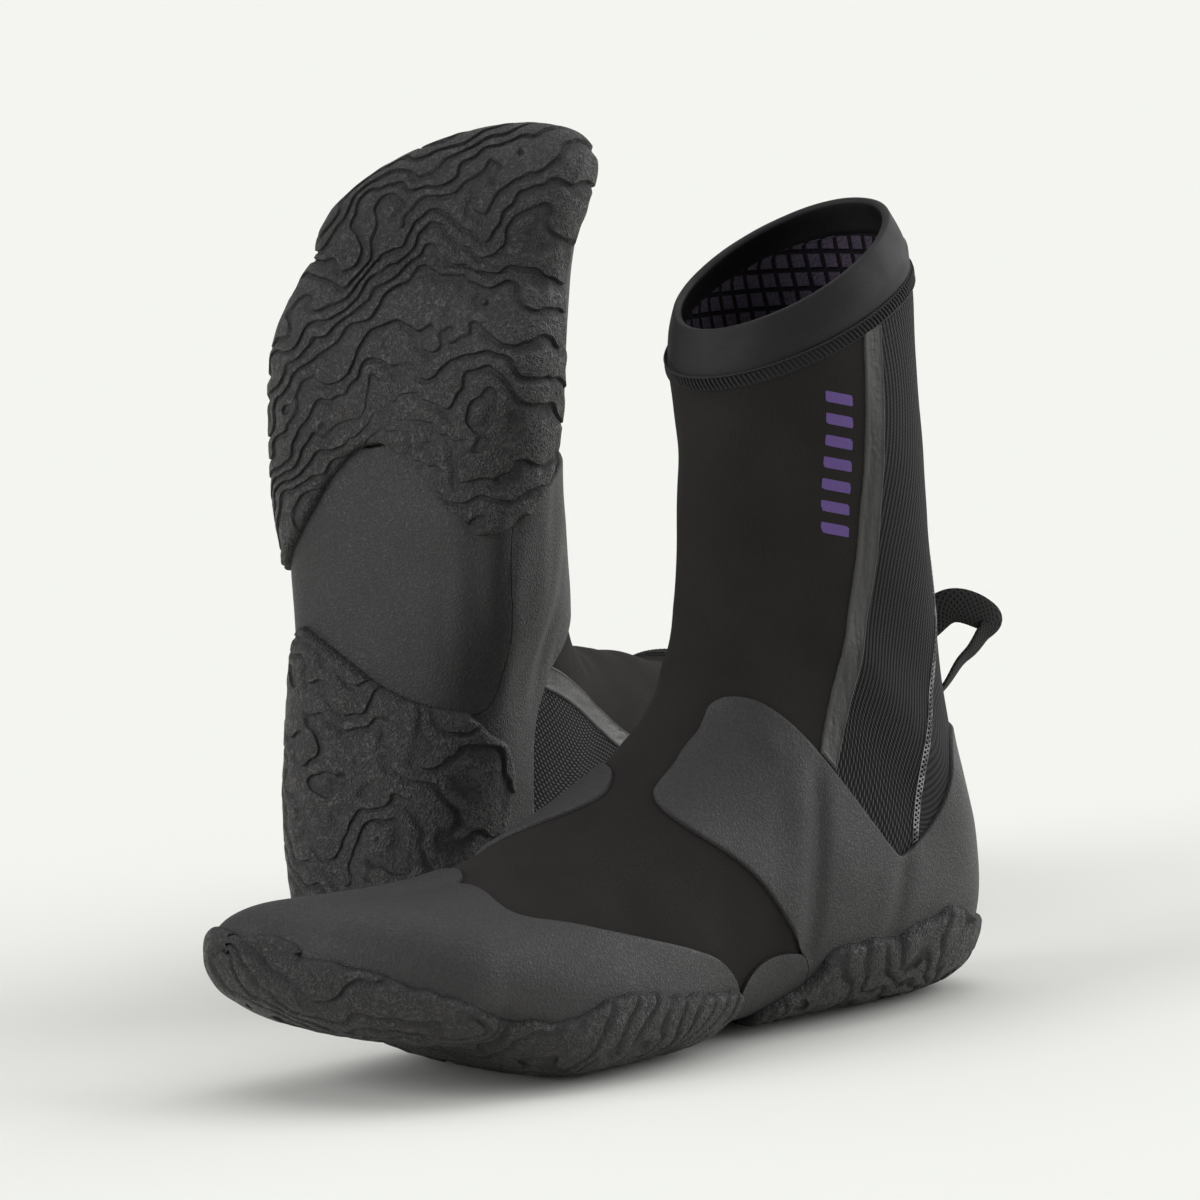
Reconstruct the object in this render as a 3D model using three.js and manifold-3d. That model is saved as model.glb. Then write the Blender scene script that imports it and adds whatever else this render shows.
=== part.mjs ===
// A pair of split-sole neoprene water boots: the left boot stands, the right boot lies back on its
// heel and cuff with the toe up. Millimetres, +Z up. Each boot is drawn in its own frame, with X
// from heel to toe, +Y to the outside of the foot and Z up from the ground, then placed.

import * as THREE from 'three';
import { mergeVertices } from 'three/addons/utils/BufferGeometryUtils.js';
import Module from 'manifold-3d';

const wasm = await Module();
wasm.setup();

// ---------------------------------------------------------------- driving dimensions

const footLength = 286;        // heel to toe, over the neoprene
const bootHeight = 267;        // ground to the back of the cuff rim
const widthScale = 1;          // 1 is a medium fit

const soleStack = 5;           // ground to the underside of the neoprene
const neoprene = 3;            // neoprene thickness
const liningThickness = 0.8;   // bonded fabric lining
const panelThickness = 1.2;    // pebbled rubber panels over the neoprene
const randThickness = 2.2;     // outsole where it turns up the sides
const tapeThickness = 0.6;     // liquid rubber seam tape
const threadThickness = 0.7;   // stitch rows, standing proud of the cloth
const clearance = 0.3;         // between layers
const seamGap = 0.4;           // between neighbours in one layer

const tapeWidth = 8.5;
const flatlockWidth = 3;
const cuffStitchWidth = 4.4;

const loopWebThickness = 1.6;
const loopLean = 30;           // degrees the left loop leans to the outside of the foot
const loopFolded = 75;         // degrees the right loop is folded over, under the lying boot

const leftYaw = -18;           // degrees the left boot is turned in plan
const rightHeelAt = [107, -170]; // the right boot's heel corner, from the left boot's
const rightRoll = -3.7;        // degrees the lying boot leans to one side
const rightLieGuess = 97;      // degrees it lies back, before it settles on heel and cuff

const sides = 16;              // facets round a cross-section
const capRings = 3;            // rings that close the toe
const designLength = 286;      // the sections and outlines below are drawn at this length,
const designHeight = 267;      // this height
const designSole = 5;          // and this sole

// ---------------------------------------------------------------- the foot's sections

// Sections run from the ball of the toes round the instep and up the leg. Each is a closed curve
// between a point on top (or in front) and one below (or behind), as wide as outer and inner say.
// waist is where it is widest, from bottom to top; low and high are the roundness of each half:
// 2 is an ellipse and more is squarer. sole is the share of the outsole's depth that lies on it.
const sections = [
  { top: [236, 62.5], bottom: [237, 20], outer: 47, inner: 41.5, waist: 0.42, low: 3.2, high: 2.2, sole: 1 },
  { top: [203, 65.5], bottom: [206, 6], outer: 53, inner: 45.5, waist: 0.38, low: 3.4, high: 2.1, sole: 1 },
  { top: [170, 76.5], bottom: [167, 5], outer: 51, inner: 44.5, waist: 0.36, low: 3.4, high: 2, sole: 1 },
  { top: [136, 91.5], bottom: [130, 5], outer: 43.5, inner: 45, waist: 0.34, low: 3.2, high: 2, sole: 1 },
  { top: [115, 109.5], bottom: [97, 5], outer: 41, inner: 40, waist: 0.34, low: 3, high: 2, sole: 1 },
  { top: [108, 126], bottom: [60, 5], outer: 41, inner: 39.5, waist: 0.36, low: 3, high: 2, sole: 1 },
  { top: [107, 137], bottom: [22, 5], outer: 39, inner: 38.5, waist: 0.42, low: 2.8, high: 2, sole: 1 },
  { top: [106, 151], bottom: [0.5, 12], outer: 37, inner: 37, waist: 0.48, low: 2.5, high: 2, sole: 0.6 },
  { top: [104.5, 161], bottom: [-5, 42], outer: 37, inner: 37, waist: 0.5, low: 2.3, high: 2, sole: 0 },
  { top: [104, 174], bottom: [1.5, 77], outer: 35, inner: 35, waist: 0.5, low: 2.1, high: 2, sole: 0 },
  { top: [100, 194], bottom: [10, 117], outer: 37, inner: 37, waist: 0.5, low: 2.1, high: 2, sole: 0 },
  {
    top: [99.5, 204.5], bottom: [15.5, 175], outer: 39.5, inner: 39.5, waist: 0.5, low: 2.1, high: 2,
    sole: 0,
  },
  { top: [102, 212], bottom: [18, 247], outer: 38, inner: 38, waist: 0.5, low: 2.1, high: 2, sole: 0 },
  { top: [101, 222], bottom: [21, 257.5], outer: 36, inner: 36, waist: 0.5, low: 2.1, high: 2, sole: 0 },
  { top: [99.5, 229], bottom: [30, 266.5], outer: 26, inner: 26, waist: 0.5, low: 2.1, high: 2, sole: 0 },
];
const toeTip = [284.5, -26, 47];
const cuffSection = 12;        // the section that the cuff is sewn on at

// ---------------------------------------------------------------- outlines, seen from the side

// Points are [x, z]. "Outer" is the outside of the foot and "inner" the inside.
const toeCapOuter = [
  [131, 10], [131, 20.5], [142, 31.5], [156, 38], [190, 48], [205, 52.5], [218, 55], [222, 58],
  [219, 62], [211, 66], [211, 100], [310, 100], [310, -30], [182, -30], [182, 10],
];
const toeCapInner = [
  [160, 10], [163, 19], [182, 33.5], [190, 42], [211, 66], [211, 100], [310, 100], [310, -30],
  [182, -30], [182, 10],
];
const archOuter = [
  [82, -30], [82, 10], [97, 10], [97, 25.5], [103, 28], [112, 29.2], [123, 27.5], [131, 20.5],
  [131, 10], [182, 10], [182, -30],
];
const archInner = [
  [82, -30], [82, 10], [88, 10], [91, 22], [111, 22.5], [122, 20], [134, 17.5], [148, 16], [159, 17],
  [160, 10], [182, 10], [182, -30],
];
const heelWrapOuter = [
  [-50, -30], [82, -30], [82, 10], [97, 10], [97, 25.5], [103, 28], [106, 35], [116, 50], [127, 62],
  [140, 72], [145.5, 79], [144, 84], [130, 94], [115, 107], [109, 112], [103, 110], [90, 97], [72, 73],
  [56, 53], [51, 53.5], [37, 61], [28, 71], [22, 84], [12, 91], [-50, 94],
];
const heelWrapInner = [
  [-50, -30], [82, -30], [82, 10], [88, 10], [91, 22], [111, 22.5], [122, 20], [134, 17.5], [148, 16],
  [159, 17], [165, 29], [174, 45], [184, 73], [184, 100], [139, 100], [136, 90], [122, 78],
  [108, 61], [97, 51], [82, 46], [60, 50], [37, 61], [28, 71], [22, 84], [12, 91], [-50, 94],
];

// Seam lines: the taped seams in front of the mesh, and the flatlock seams beside the heel cord.
const tapeOuterLine = [
  [57, 262], [59.5, 202], [60.5, 175], [62, 150], [66, 130], [72, 111], [79, 95], [86, 80],
];
const tapeInnerLine = [
  [57, 262], [59.5, 202], [61.5, 175], [68, 145], [77, 125], [87, 104], [97, 76], [103, 50],
];
const flatlockLine = [[17, 262], [17, 200], [19, 150], [25, 121], [31, 101], [40, 83], [45, 61], [48, 45]];
const meshBottomOuter = [[78, 66], [64, 45]];
const meshBottomInner = [[98, 40], [70, 36]];

// The outsole's top edge on each side of the foot, from the back of each pod to its front.
const forefootTopOuter = [
  [118, 4], [128, 17], [137, 20.5], [158, 22.5], [170, 24], [182, 27.5], [196, 28.5], [211, 23.5],
  [222, 23], [239, 28], [258, 37.5], [274, 45.5], [283, 52], [300, 57],
];
const forefootTopInner = [
  [147, 4], [157, 19.5], [168, 30.5], [178, 35.5], [188, 37.5], [212, 36], [236, 37], [258, 43],
  [276, 51], [300, 57],
];
const heelTopOuter = [
  [-40, 24], [5, 24], [14, 27], [22, 32], [30, 32.5], [46, 27.5], [60, 27], [80, 30], [88, 27],
  [92, 20], [99, 13], [107, 3],
];
const heelTopInner = [
  [-40, 24], [5, 24], [22, 29], [45, 33], [58, 35.5], [66, 35.5], [75, 31], [82, 24], [87, 17], [91, 3],
];

// The pods' inner ends on the ground, as [x, y]: the forefoot's W and the heel's slant.
const forefootRearEdge = [
  [118, 60], [118, 48], [130, 42], [144, 33], [155, 26], [166, 20], [174, 13], [178, 4], [176, -3],
  [170, -12], [161, -20], [153, -30], [148, -38], [147, -60],
];
const heelFrontEdge = [
  [108, 60], [107, 34], [106, 23], [101, 9], [96, -2], [92, -12], [89, -25], [88, -60],
];

// The pull loop in its own plane, as [reach from the boot, height along the seam].
const loopOutline = [
  [0, 36], [17.5, 40], [24, 36], [28.5, 30], [26.5, 24], [22.5, 18.5], [18, 14.5], [12, 6], [0, 0],
  [0, 5], [10, 11], [14, 14], [16.5, 20], [19.5, 30], [9, 24.5], [0, 20],
];
const loopFoot = [4.7, 92];    // where the loop's lower end is sewn, on the back of the boot
const loopHead = [11, 127];    // and its upper end

// ---------------------------------------------------------------- scaling the drawing

const along = footLength / designLength;
const upward = (bootHeight - soleStack) / (designHeight - designSole);

function place([x, z]) {
  return [x * along, soleStack + (z - designSole) * upward];
}

function sized(outline) {
  return outline.map(place);
}

function sizedPlan(outline) {
  return outline.map(([x, y]) => [x * along, y * widthScale]);
}

// ---------------------------------------------------------------- the skin of the foot

function power(value, exponent) {
  return Math.sign(value) * Math.abs(value) ** exponent;
}

function ring(section, soleDrop) {
  const [topX, topZ] = place(section.top);
  const [lowX, lowZ] = place(section.bottom);
  const reach = Math.hypot(topX - lowX, topZ - lowZ);
  const ux = (topX - lowX) / reach;
  const uz = (topZ - lowZ) / reach;
  const drop = soleDrop * section.sole;
  const points = [];
  for (let k = 0; k < sides; k += 1) {
    const angle = (k / sides) * 2 * Math.PI;
    const c = Math.cos(angle);
    const s = Math.sin(angle);
    const lower = c > 0;
    const roundness = lower ? section.low : section.high;
    const lift = lower
      ? section.waist * (1 - Math.abs(c) ** (2 / roundness))
      : section.waist + (1 - section.waist) * Math.abs(c) ** (2 / roundness);
    const halfWidth = (s > 0 ? section.outer : section.inner) * widthScale;
    const height = lift * (reach + drop) - drop;
    points.push(new THREE.Vector3(
      lowX + ux * height, halfWidth * power(s, 2 / roundness), lowZ + uz * height,
    ));
  }
  return points;
}

function toeRings(first) {
  const middle = first.reduce((sum, p) => sum.add(p), new THREE.Vector3()).divideScalar(sides);
  const [tipX, tipZ] = place([toeTip[0], toeTip[2]]);
  const tip = new THREE.Vector3(tipX, toeTip[1] * widthScale, tipZ);
  const rings = [];
  for (let k = capRings; k > 0; k -= 1) {
    const turn = (k / capRings) * (Math.PI / 2) * 0.98;
    const shrink = Math.cos(turn);
    const ahead = Math.sin(turn);
    const centre = new THREE.Vector3(
      middle.x + (tip.x - middle.x) * ahead,
      middle.y + (tip.y - middle.y) * ahead ** 2,
      middle.z + (tip.z - middle.z) * ahead ** 2,
    );
    rings.push(first.map((p) => new THREE.Vector3(
      centre.x + (p.x - middle.x) * shrink ** 0.9,
      centre.y + (p.y - middle.y) * shrink ** 0.9,
      centre.z + (p.z - middle.z) * shrink ** 0.8,
    )));
  }
  return rings;
}

// The rings of the neoprene's outer face, moved out by offset; soleDrop lowers the underside.
function skin(offset, soleDrop = 0) {
  const plain = sections.map((section) => ring(section, soleDrop));
  const rings = [...toeRings(plain[0]), ...plain];
  return rings.map((points, v) => points.map((point, u) => {
    const next = points[(u + 1) % sides];
    const before = points[(u + sides - 1) % sides];
    const ahead = rings[Math.min(v + 1, rings.length - 1)][u];
    const behind = rings[Math.max(v - 1, 0)][u];
    const normal = new THREE.Vector3().crossVectors(ahead.clone().sub(behind), next.clone().sub(before));
    return point.clone().addScaledVector(normal.normalize(), offset);
  }));
}

// A closed wall between two skins, open at the leg and closed round the toe.
function wall(outerRings, innerRings) {
  const positions = [];
  const faces = [];
  const pole = (points) => points.reduce((sum, p) => sum.add(p), new THREE.Vector3()).divideScalar(sides);
  const addSkin = (rings, outward) => {
    const start = positions.length;
    positions.push(pole(rings[0]), ...rings.flat());
    const at = (v, u) => start + 1 + v * sides + (u % sides);
    const face = (a, b, c) => faces.push(outward ? [a, b, c] : [a, c, b]);
    for (let u = 0; u < sides; u += 1) {
      face(start, at(0, u), at(0, u + 1));
      for (let v = 0; v + 1 < rings.length; v += 1) {
        face(at(v, u), at(v + 1, u), at(v + 1, u + 1));
        face(at(v, u), at(v + 1, u + 1), at(v, u + 1));
      }
    }
    return (u) => at(rings.length - 1, u);
  };
  const outerEdge = addSkin(outerRings, true);
  const innerEdge = addSkin(innerRings, false);
  for (let u = 0; u < sides; u += 1) {
    faces.push([outerEdge(u), innerEdge(u), innerEdge(u + 1)]);
    faces.push([outerEdge(u), innerEdge(u + 1), outerEdge(u + 1)]);
  }
  return solidFrom(positions, faces);
}

// ---------------------------------------------------------------- solids

function solidFrom(positions, faces) {
  const vertProperties = Float32Array.from(positions.flatMap((p) => [p.x, p.y, p.z]));
  const triVerts = Uint32Array.from(faces.flat());
  return new wasm.Manifold(new wasm.Mesh({ numProp: 3, vertProperties, triVerts }));
}

function solidOf(geometry) {
  geometry.deleteAttribute('normal');
  geometry.deleteAttribute('uv');
  const merged = mergeVertices(geometry, 1e-4);
  return new wasm.Manifold(new wasm.Mesh({
    numProp: 3,
    vertProperties: merged.attributes.position.array,
    triVerts: Uint32Array.from(merged.index.array),
  }));
}

function geometryOf(solid) {
  const mesh = solid.getMesh();
  const geometry = new THREE.BufferGeometry();
  geometry.setAttribute('position', new THREE.BufferAttribute(mesh.vertProperties, 3));
  geometry.setIndex(new THREE.BufferAttribute(mesh.triVerts, 1));
  return geometry;
}

function shapeOf(outline) {
  return new THREE.Shape(outline.map(([x, y]) => new THREE.Vector2(x, y)));
}

// An outline moved in by a distance, corner by corner; a negative distance moves it out.
function inset(outline, distance) {
  const turnsLeft = THREE.ShapeUtils.area(outline.map(([x, y]) => new THREE.Vector2(x, y))) > 0 ? 1 : -1;
  return outline.map((point, k) => {
    const here = new THREE.Vector2(...point);
    const from = here.clone().sub(new THREE.Vector2(...outline.at(k - 1))).normalize();
    const to = new THREE.Vector2(...outline[(k + 1) % outline.length]).sub(here).normalize();
    const miter = new THREE.Vector2(-from.y - to.y, from.x + to.x).normalize();
    const reach = distance * turnsLeft / Math.max(0.5, miter.dot(new THREE.Vector2(-from.y, from.x)));
    return [here.x + miter.x * reach, here.y + miter.y * reach];
  });
}

const farSide = 90;            // beyond the boot on either side

// A block with a side-view outline, from one Y to another.
function sideBlock(outline, fromY, toY) {
  const geometry = new THREE.ExtrudeGeometry(shapeOf(outline), { depth: toY - fromY, bevelEnabled: false });
  geometry.rotateX(Math.PI / 2);
  geometry.translate(0, toY, 0);
  return solidOf(geometry);
}

// A block with a plan outline, from one height to another.
function planBlock(outline, fromZ, toZ) {
  const geometry = new THREE.ExtrudeGeometry(shapeOf(outline), { depth: toZ - fromZ, bevelEnabled: false });
  geometry.translate(0, 0, fromZ);
  return solidOf(geometry);
}

// A panel's block: one outline on the outside of the foot and another on the inside.
function bothSides(outer, inner, distance, split = 0) {
  const outerBlock = sideBlock(inset(sized(outer), distance), 0, farSide);
  const innerBlock = sideBlock(inset(sized(inner), distance), -farSide, split);
  return outerBlock.add(innerBlock);
}

// A band of even width along a line in side view.
function band(line, width) {
  const points = sized(line).map(([x, z]) => new THREE.Vector2(x, z));
  const normals = points.map((point, k) => {
    const from = points[Math.max(k - 1, 0)];
    const to = points[Math.min(k + 1, points.length - 1)];
    const way = to.clone().sub(from).normalize();
    return new THREE.Vector2(-way.y, way.x);
  });
  const edge = (side) => points.map(
    (p, k) => p.clone().addScaledVector(normals[k], side * width / 2).toArray(),
  );
  return [...edge(1), ...edge(-1).reverse()];
}

// ---------------------------------------------------------------- layers of one boot

const panelIn = clearance;
const panelOut = clearance + panelThickness;
const soleIn = panelOut + clearance;
const soleOut = soleIn + randThickness;
const soleSink = 1;            // how far the outsole is drawn below the ground before it is cut flat

const neopreneWall = wall(skin(0), skin(-neoprene));
const liningWall = wall(skin(-neoprene - clearance), skin(-neoprene - clearance - liningThickness));
const panelWall = wall(skin(panelOut), skin(panelIn));
const soleWall = wall(skin(soleOut, soleStack - soleOut + soleSink), skin(soleIn));
const tapeWall = wall(skin(clearance + tapeThickness), skin(clearance));
const threadWall = wall(skin(clearance + threadThickness), skin(clearance));

// The cuff seam's plane, moved along the leg by rise; the block lies above it.
function aboveCuffSeam(rise, height = 400) {
  const [frontX, frontZ] = place(sections[cuffSection].top);
  const [backX, backZ] = place(sections[cuffSection].bottom);
  const tilt = Math.atan2(frontZ - backZ, frontX - backX);
  const geometry = new THREE.BoxGeometry(600, 2 * farSide, height);
  geometry.translate(0, 0, height / 2 + rise);
  geometry.rotateY(-tilt);
  geometry.translate((frontX + backX) / 2, 0, (frontZ + backZ) / 2);
  return solidOf(geometry);
}

const tabCrossing = 7;         // how far the inner instep tab laps past the middle of the foot
const heelWrapBlock = (distance) => bothSides(heelWrapOuter, heelWrapInner, distance, tabCrossing);

function meshOutline(tapeLine, bottom) {
  return [...tapeLine, ...bottom, ...flatlockLine.toReversed()];
}

function heelCordOutline() {
  return [...flatlockLine, [40, 30], [-60, 30], [-60, 262]];
}

function buildSolids() {
  const legTop = aboveCuffSeam(-seamGap / 2);
  const leg = neopreneWall.subtract(legTop);
  const meshOuterOutline = sized(meshOutline(tapeOuterLine, meshBottomOuter));
  const meshInnerOutline = sized(meshOutline(tapeInnerLine, meshBottomInner));
  const meshOuter = (distance) => sideBlock(inset(meshOuterOutline, distance), 0, farSide);
  const meshInner = (distance) => sideBlock(inset(meshInnerOutline, distance), -farSide, 0);
  const heelCord = (distance) => sideBlock(inset(sized(heelCordOutline()), distance), -farSide, farSide);
  const half = seamGap / 2;
  const cuffBand = aboveCuffSeam(-cuffStitchWidth / 2, cuffStitchWidth);
  const belowStitch = aboveCuffSeam(-cuffStitchWidth / 2 - seamGap);
  const wrapClear = heelWrapBlock(-seamGap);
  const strip = (layer, line, width, fromY, toY) => layer
    .intersect(sideBlock(band(line, width), fromY, toY)).subtract(belowStitch).subtract(wrapClear);
  const forefoot = sideBlock(podOutline(forefootTopOuter), 0, farSide)
    .add(sideBlock(podOutline(forefootTopInner), -farSide, 0))
    .intersect(planBlock(sizedPlan([...forefootRearEdge, [320, -60], [320, 60]]), 0, bootHeight));
  const heel = sideBlock(podOutline(heelTopOuter), 0, farSide)
    .add(sideBlock(podOutline(heelTopInner), -farSide, 0))
    .intersect(planBlock(sizedPlan([...heelFrontEdge, [-60, -60], [-60, 60]]), 0, bootHeight));
  return {
    front_panel: leg.subtract(meshOuter(-half)).subtract(meshInner(-half)).subtract(heelCord(-half)),
    mesh_panel_outer: leg.intersect(meshOuter(half)),
    mesh_panel_inner: leg.intersect(meshInner(half)),
    heel_cord_panel: leg.intersect(heelCord(half)),
    lining: liningWall.subtract(aboveCuffSeam(-1)),
    cuff: neopreneWall.intersect(aboveCuffSeam(seamGap / 2)),
    cuff_stitching: threadWall.intersect(cuffBand),
    toe_cap: panelWall.intersect(bothSides(toeCapOuter, toeCapInner, half)),
    arch_panel: panelWall.intersect(bothSides(archOuter, archInner, half)),
    heel_wrap: panelWall.intersect(heelWrapBlock(half)),
    forefoot_outsole: soleWall.intersect(forefoot),
    heel_outsole: soleWall.intersect(heel),
    seam_tape_outer: strip(tapeWall, tapeOuterLine, tapeWidth, 0, farSide),
    seam_tape_inner: strip(tapeWall, tapeInnerLine, tapeWidth, -farSide, 0),
    flatlock_outer: strip(threadWall, flatlockLine, flatlockWidth, 0, farSide),
    flatlock_inner: strip(threadWall, flatlockLine, flatlockWidth, -farSide, 0),
  };
}

// A pod's side outline: its top edge, closed well below the ground.
function podOutline(topEdge) {
  const line = sized(topEdge);
  return [...line, [line.at(-1)[0], -20], [line[0][0], -20]];
}

// The pull loop: flat webbing, doubled back and sewn down at both ends. lean turns it about the
// line through its two ends, to the outside of the foot.
function loopGeometry(lean) {
  const web = { depth: loopWebThickness, bevelEnabled: false };
  const geometry = new THREE.ExtrudeGeometry(shapeOf(loopOutline), web);
  geometry.translate(0, 0, -loopWebThickness / 2);
  geometry.rotateX(Math.PI / 2);
  geometry.rotateZ(THREE.MathUtils.degToRad(180 - lean));
  const foot = new THREE.Vector3(place(loopFoot)[0], 0, place(loopFoot)[1]);
  const head = new THREE.Vector3(place(loopHead)[0], 0, place(loopHead)[1]);
  const up = new THREE.Vector3(0, 0, 1);
  geometry.applyQuaternion(new THREE.Quaternion().setFromUnitVectors(up, head.clone().sub(foot).normalize()));
  geometry.translate(foot.x - clearance - loopWebThickness / 2, 0, foot.z);
  return geometryOf(solidOf(geometry));
}

// ---------------------------------------------------------------- finishes

const finishes = {
  front_panel: { color: 0x2a2726, roughness: 0.85 },
  mesh_panel_outer: { color: 0x2f2f31, roughness: 0.9 },
  mesh_panel_inner: { color: 0x2f2f31, roughness: 0.9 },
  heel_cord_panel: { color: 0x35353a, roughness: 0.85 },
  lining: { color: 0x242225, roughness: 0.95 },
  cuff: { color: 0x252527, roughness: 0.6 },
  cuff_stitching: { color: 0x1c1c1d, roughness: 0.7 },
  toe_cap: { color: 0x4c4a4b, roughness: 0.6 },
  arch_panel: { color: 0x444344, roughness: 0.6 },
  heel_wrap: { color: 0x474547, roughness: 0.6 },
  forefoot_outsole: { color: 0x494748, roughness: 0.75 },
  heel_outsole: { color: 0x494748, roughness: 0.75 },
  seam_tape_outer: { color: 0x525150, roughness: 0.45 },
  seam_tape_inner: { color: 0x525150, roughness: 0.45 },
  flatlock_outer: { color: 0x8a8a8c, roughness: 0.7 },
  flatlock_inner: { color: 0x8a8a8c, roughness: 0.7 },
  pull_loop: { color: 0x262322, roughness: 0.8 },
};

// ---------------------------------------------------------------- the two boots

function bootOf(foot, solids, mirrored, lean) {
  const geometries = Object.fromEntries(Object.entries(solids).map(([name, solid]) => [
    name, geometryOf(mirrored ? solid.mirror([0, 1, 0]) : solid),
  ]));
  geometries.pull_loop = loopGeometry(mirrored ? -lean : lean);
  const boot = new THREE.Group();
  for (const [name, geometry] of Object.entries(geometries)) {
    geometry.computeVertexNormals();
    const material = new THREE.MeshStandardMaterial({ ...finishes[name], metalness: 0 });
    const mesh = new THREE.Mesh(geometry, material);
    mesh.name = `${foot}_${name}`;
    boot.add(mesh);
  }
  return boot;
}

function lowest(boot, inFront) {
  const point = new THREE.Vector3();
  let low = Infinity;
  boot.updateMatrixWorld(true);
  boot.traverse((mesh) => {
    if (!mesh.isMesh) return;
    const position = mesh.geometry.attributes.position;
    for (let k = 0; k < position.count; k += 1) {
      point.fromBufferAttribute(position, k);
      const front = point.z < place([0, designHeight / 2])[1];
      point.applyMatrix4(mesh.matrixWorld);
      if (front === inFront) low = Math.min(low, point.z);
    }
  });
  return low;
}

// Lay a boot on its back and tip it until the heel and the cuff both touch the ground.
function layDown(boot) {
  const turn = (degrees) => {
    boot.rotation.set(
      THREE.MathUtils.degToRad(rightRoll), -THREE.MathUtils.degToRad(degrees), 0, 'XYZ',
    );
  };
  let less = rightLieGuess - 12;
  let more = rightLieGuess + 12;
  for (let k = 0; k < 30; k += 1) {
    const middle = (less + more) / 2;
    turn(middle);
    if (lowest(boot, true) < lowest(boot, false)) less = middle;
    else more = middle;
  }
  boot.position.z = -Math.min(lowest(boot, true), lowest(boot, false));
}

const solids = buildSolids();
const left = bootOf('left', solids, false, loopLean);
left.rotation.z = THREE.MathUtils.degToRad(leftYaw);
const right = bootOf('right', solids, true, loopFolded);
layDown(right);
right.position.x = rightHeelAt[0];
right.position.y = rightHeelAt[1];

// The pair stands on z = 0 with the middle of its box at the origin.
const pair = new THREE.Group();
pair.add(left, right);
const extent = new THREE.Box3().setFromObject(pair, true);
const middle = extent.getCenter(new THREE.Vector3());
pair.position.set(-middle.x, -middle.y, -extent.min.z);

export default pair;
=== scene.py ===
# A pair of split-sole neoprene water boots: the left one stands, the right one lies back.
# Each boot is drawn once in its own frame in millimetres, with X from heel to toe, +Y to the
# outside of the foot and Z up from the ground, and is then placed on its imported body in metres.

import math

import bpy
import numpy as np
from mathutils import Matrix, Vector, noise


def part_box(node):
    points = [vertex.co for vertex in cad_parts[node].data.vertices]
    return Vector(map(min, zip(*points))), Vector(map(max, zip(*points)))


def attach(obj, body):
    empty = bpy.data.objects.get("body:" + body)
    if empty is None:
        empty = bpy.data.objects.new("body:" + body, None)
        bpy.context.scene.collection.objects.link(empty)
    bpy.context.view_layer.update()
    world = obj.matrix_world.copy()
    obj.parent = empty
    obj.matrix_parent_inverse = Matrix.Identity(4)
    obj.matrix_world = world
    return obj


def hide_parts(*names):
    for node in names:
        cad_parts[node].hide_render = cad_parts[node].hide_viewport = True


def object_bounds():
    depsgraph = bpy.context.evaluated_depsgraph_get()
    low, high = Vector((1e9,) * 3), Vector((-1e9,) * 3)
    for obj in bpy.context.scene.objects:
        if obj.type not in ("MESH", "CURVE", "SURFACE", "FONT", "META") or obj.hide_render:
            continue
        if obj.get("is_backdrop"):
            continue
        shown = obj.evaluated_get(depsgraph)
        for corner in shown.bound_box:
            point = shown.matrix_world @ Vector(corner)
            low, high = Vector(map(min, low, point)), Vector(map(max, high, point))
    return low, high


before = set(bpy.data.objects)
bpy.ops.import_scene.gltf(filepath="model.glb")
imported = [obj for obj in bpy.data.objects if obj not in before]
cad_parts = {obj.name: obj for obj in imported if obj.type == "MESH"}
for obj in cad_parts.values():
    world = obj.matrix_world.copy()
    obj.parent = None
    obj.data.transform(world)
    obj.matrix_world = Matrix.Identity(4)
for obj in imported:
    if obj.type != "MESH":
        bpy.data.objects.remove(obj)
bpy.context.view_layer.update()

MM = 0.001

# ---------------------------------------------------------------- sizes

NEOPRENE = 3.0
PANEL_UNDER, PANEL_TOP = 0.1, 1.3      # pebbled rubber panels, above the neoprene
SOLE_UNDER, SOLE_TOP = 1.45, 4.0       # outsole, above the neoprene
SOLE_DROP = 1.0                        # how much lower the tread hangs under the foot
TREAD_DEPTH = 1.0
TAPE_WIDTH, TAPE_TOP = 8.5, 0.75
FLATLOCK_WIDTH = 3.0
CUFF_BAND = 4.4
STITCH_PITCH = 1.65
PRINT_UNDER, PRINT_TOP = 0.02, 0.14    # printed bars, above the front panel
LINING_UNDER, LINING_TOP = -3.9, -3.1
SEAM_GROOVE = 0.45

LEFT_YAW = -18.0
RIGHT_ROLL, RIGHT_LIE = -3.7, 96.587
LOOP_LEAN = {"left": 30.0, "right": -75.0}

# Sections from the ball of the toes round the instep and up the leg: top x z, bottom x z, half
# widths outside and inside, waist height, roundness below and above, share of the sole's drop.
SECTIONS = np.array([
    [236, 62.5, 237, 20, 47, 41.5, 0.42, 3.2, 2.2, 1],
    [203, 65.5, 206, 6, 53, 45.5, 0.38, 3.4, 2.1, 1],
    [170, 76.5, 167, 5, 51, 44.5, 0.36, 3.4, 2, 1],
    [136, 91.5, 130, 5, 43.5, 45, 0.34, 3.2, 2, 1],
    [115, 109.5, 97, 5, 41, 40, 0.34, 3, 2, 1],
    [108, 126, 60, 5, 41, 39.5, 0.36, 3, 2, 1],
    [107, 137, 22, 5, 39, 38.5, 0.42, 2.8, 2, 1],
    [106, 151, 0.5, 12, 37, 37, 0.48, 2.5, 2, 0.6],
    [104.5, 161, -5, 42, 37, 37, 0.5, 2.3, 2, 0],
    [104, 174, 1.5, 77, 35, 35, 0.5, 2.1, 2, 0],
    [100, 194, 10, 117, 37, 37, 0.5, 2.1, 2, 0],
    [99.5, 204.5, 15.5, 175, 39.5, 39.5, 0.5, 2.1, 2, 0],
    [102, 212, 18, 247, 38, 38, 0.5, 2.1, 2, 0],
    [101.5, 221, 20, 257, 37.5, 37.5, 0.5, 2.1, 2, 0],
    [100.5, 228.5, 24.5, 266, 33.5, 33.5, 0.5, 2.1, 2, 0],
])
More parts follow.
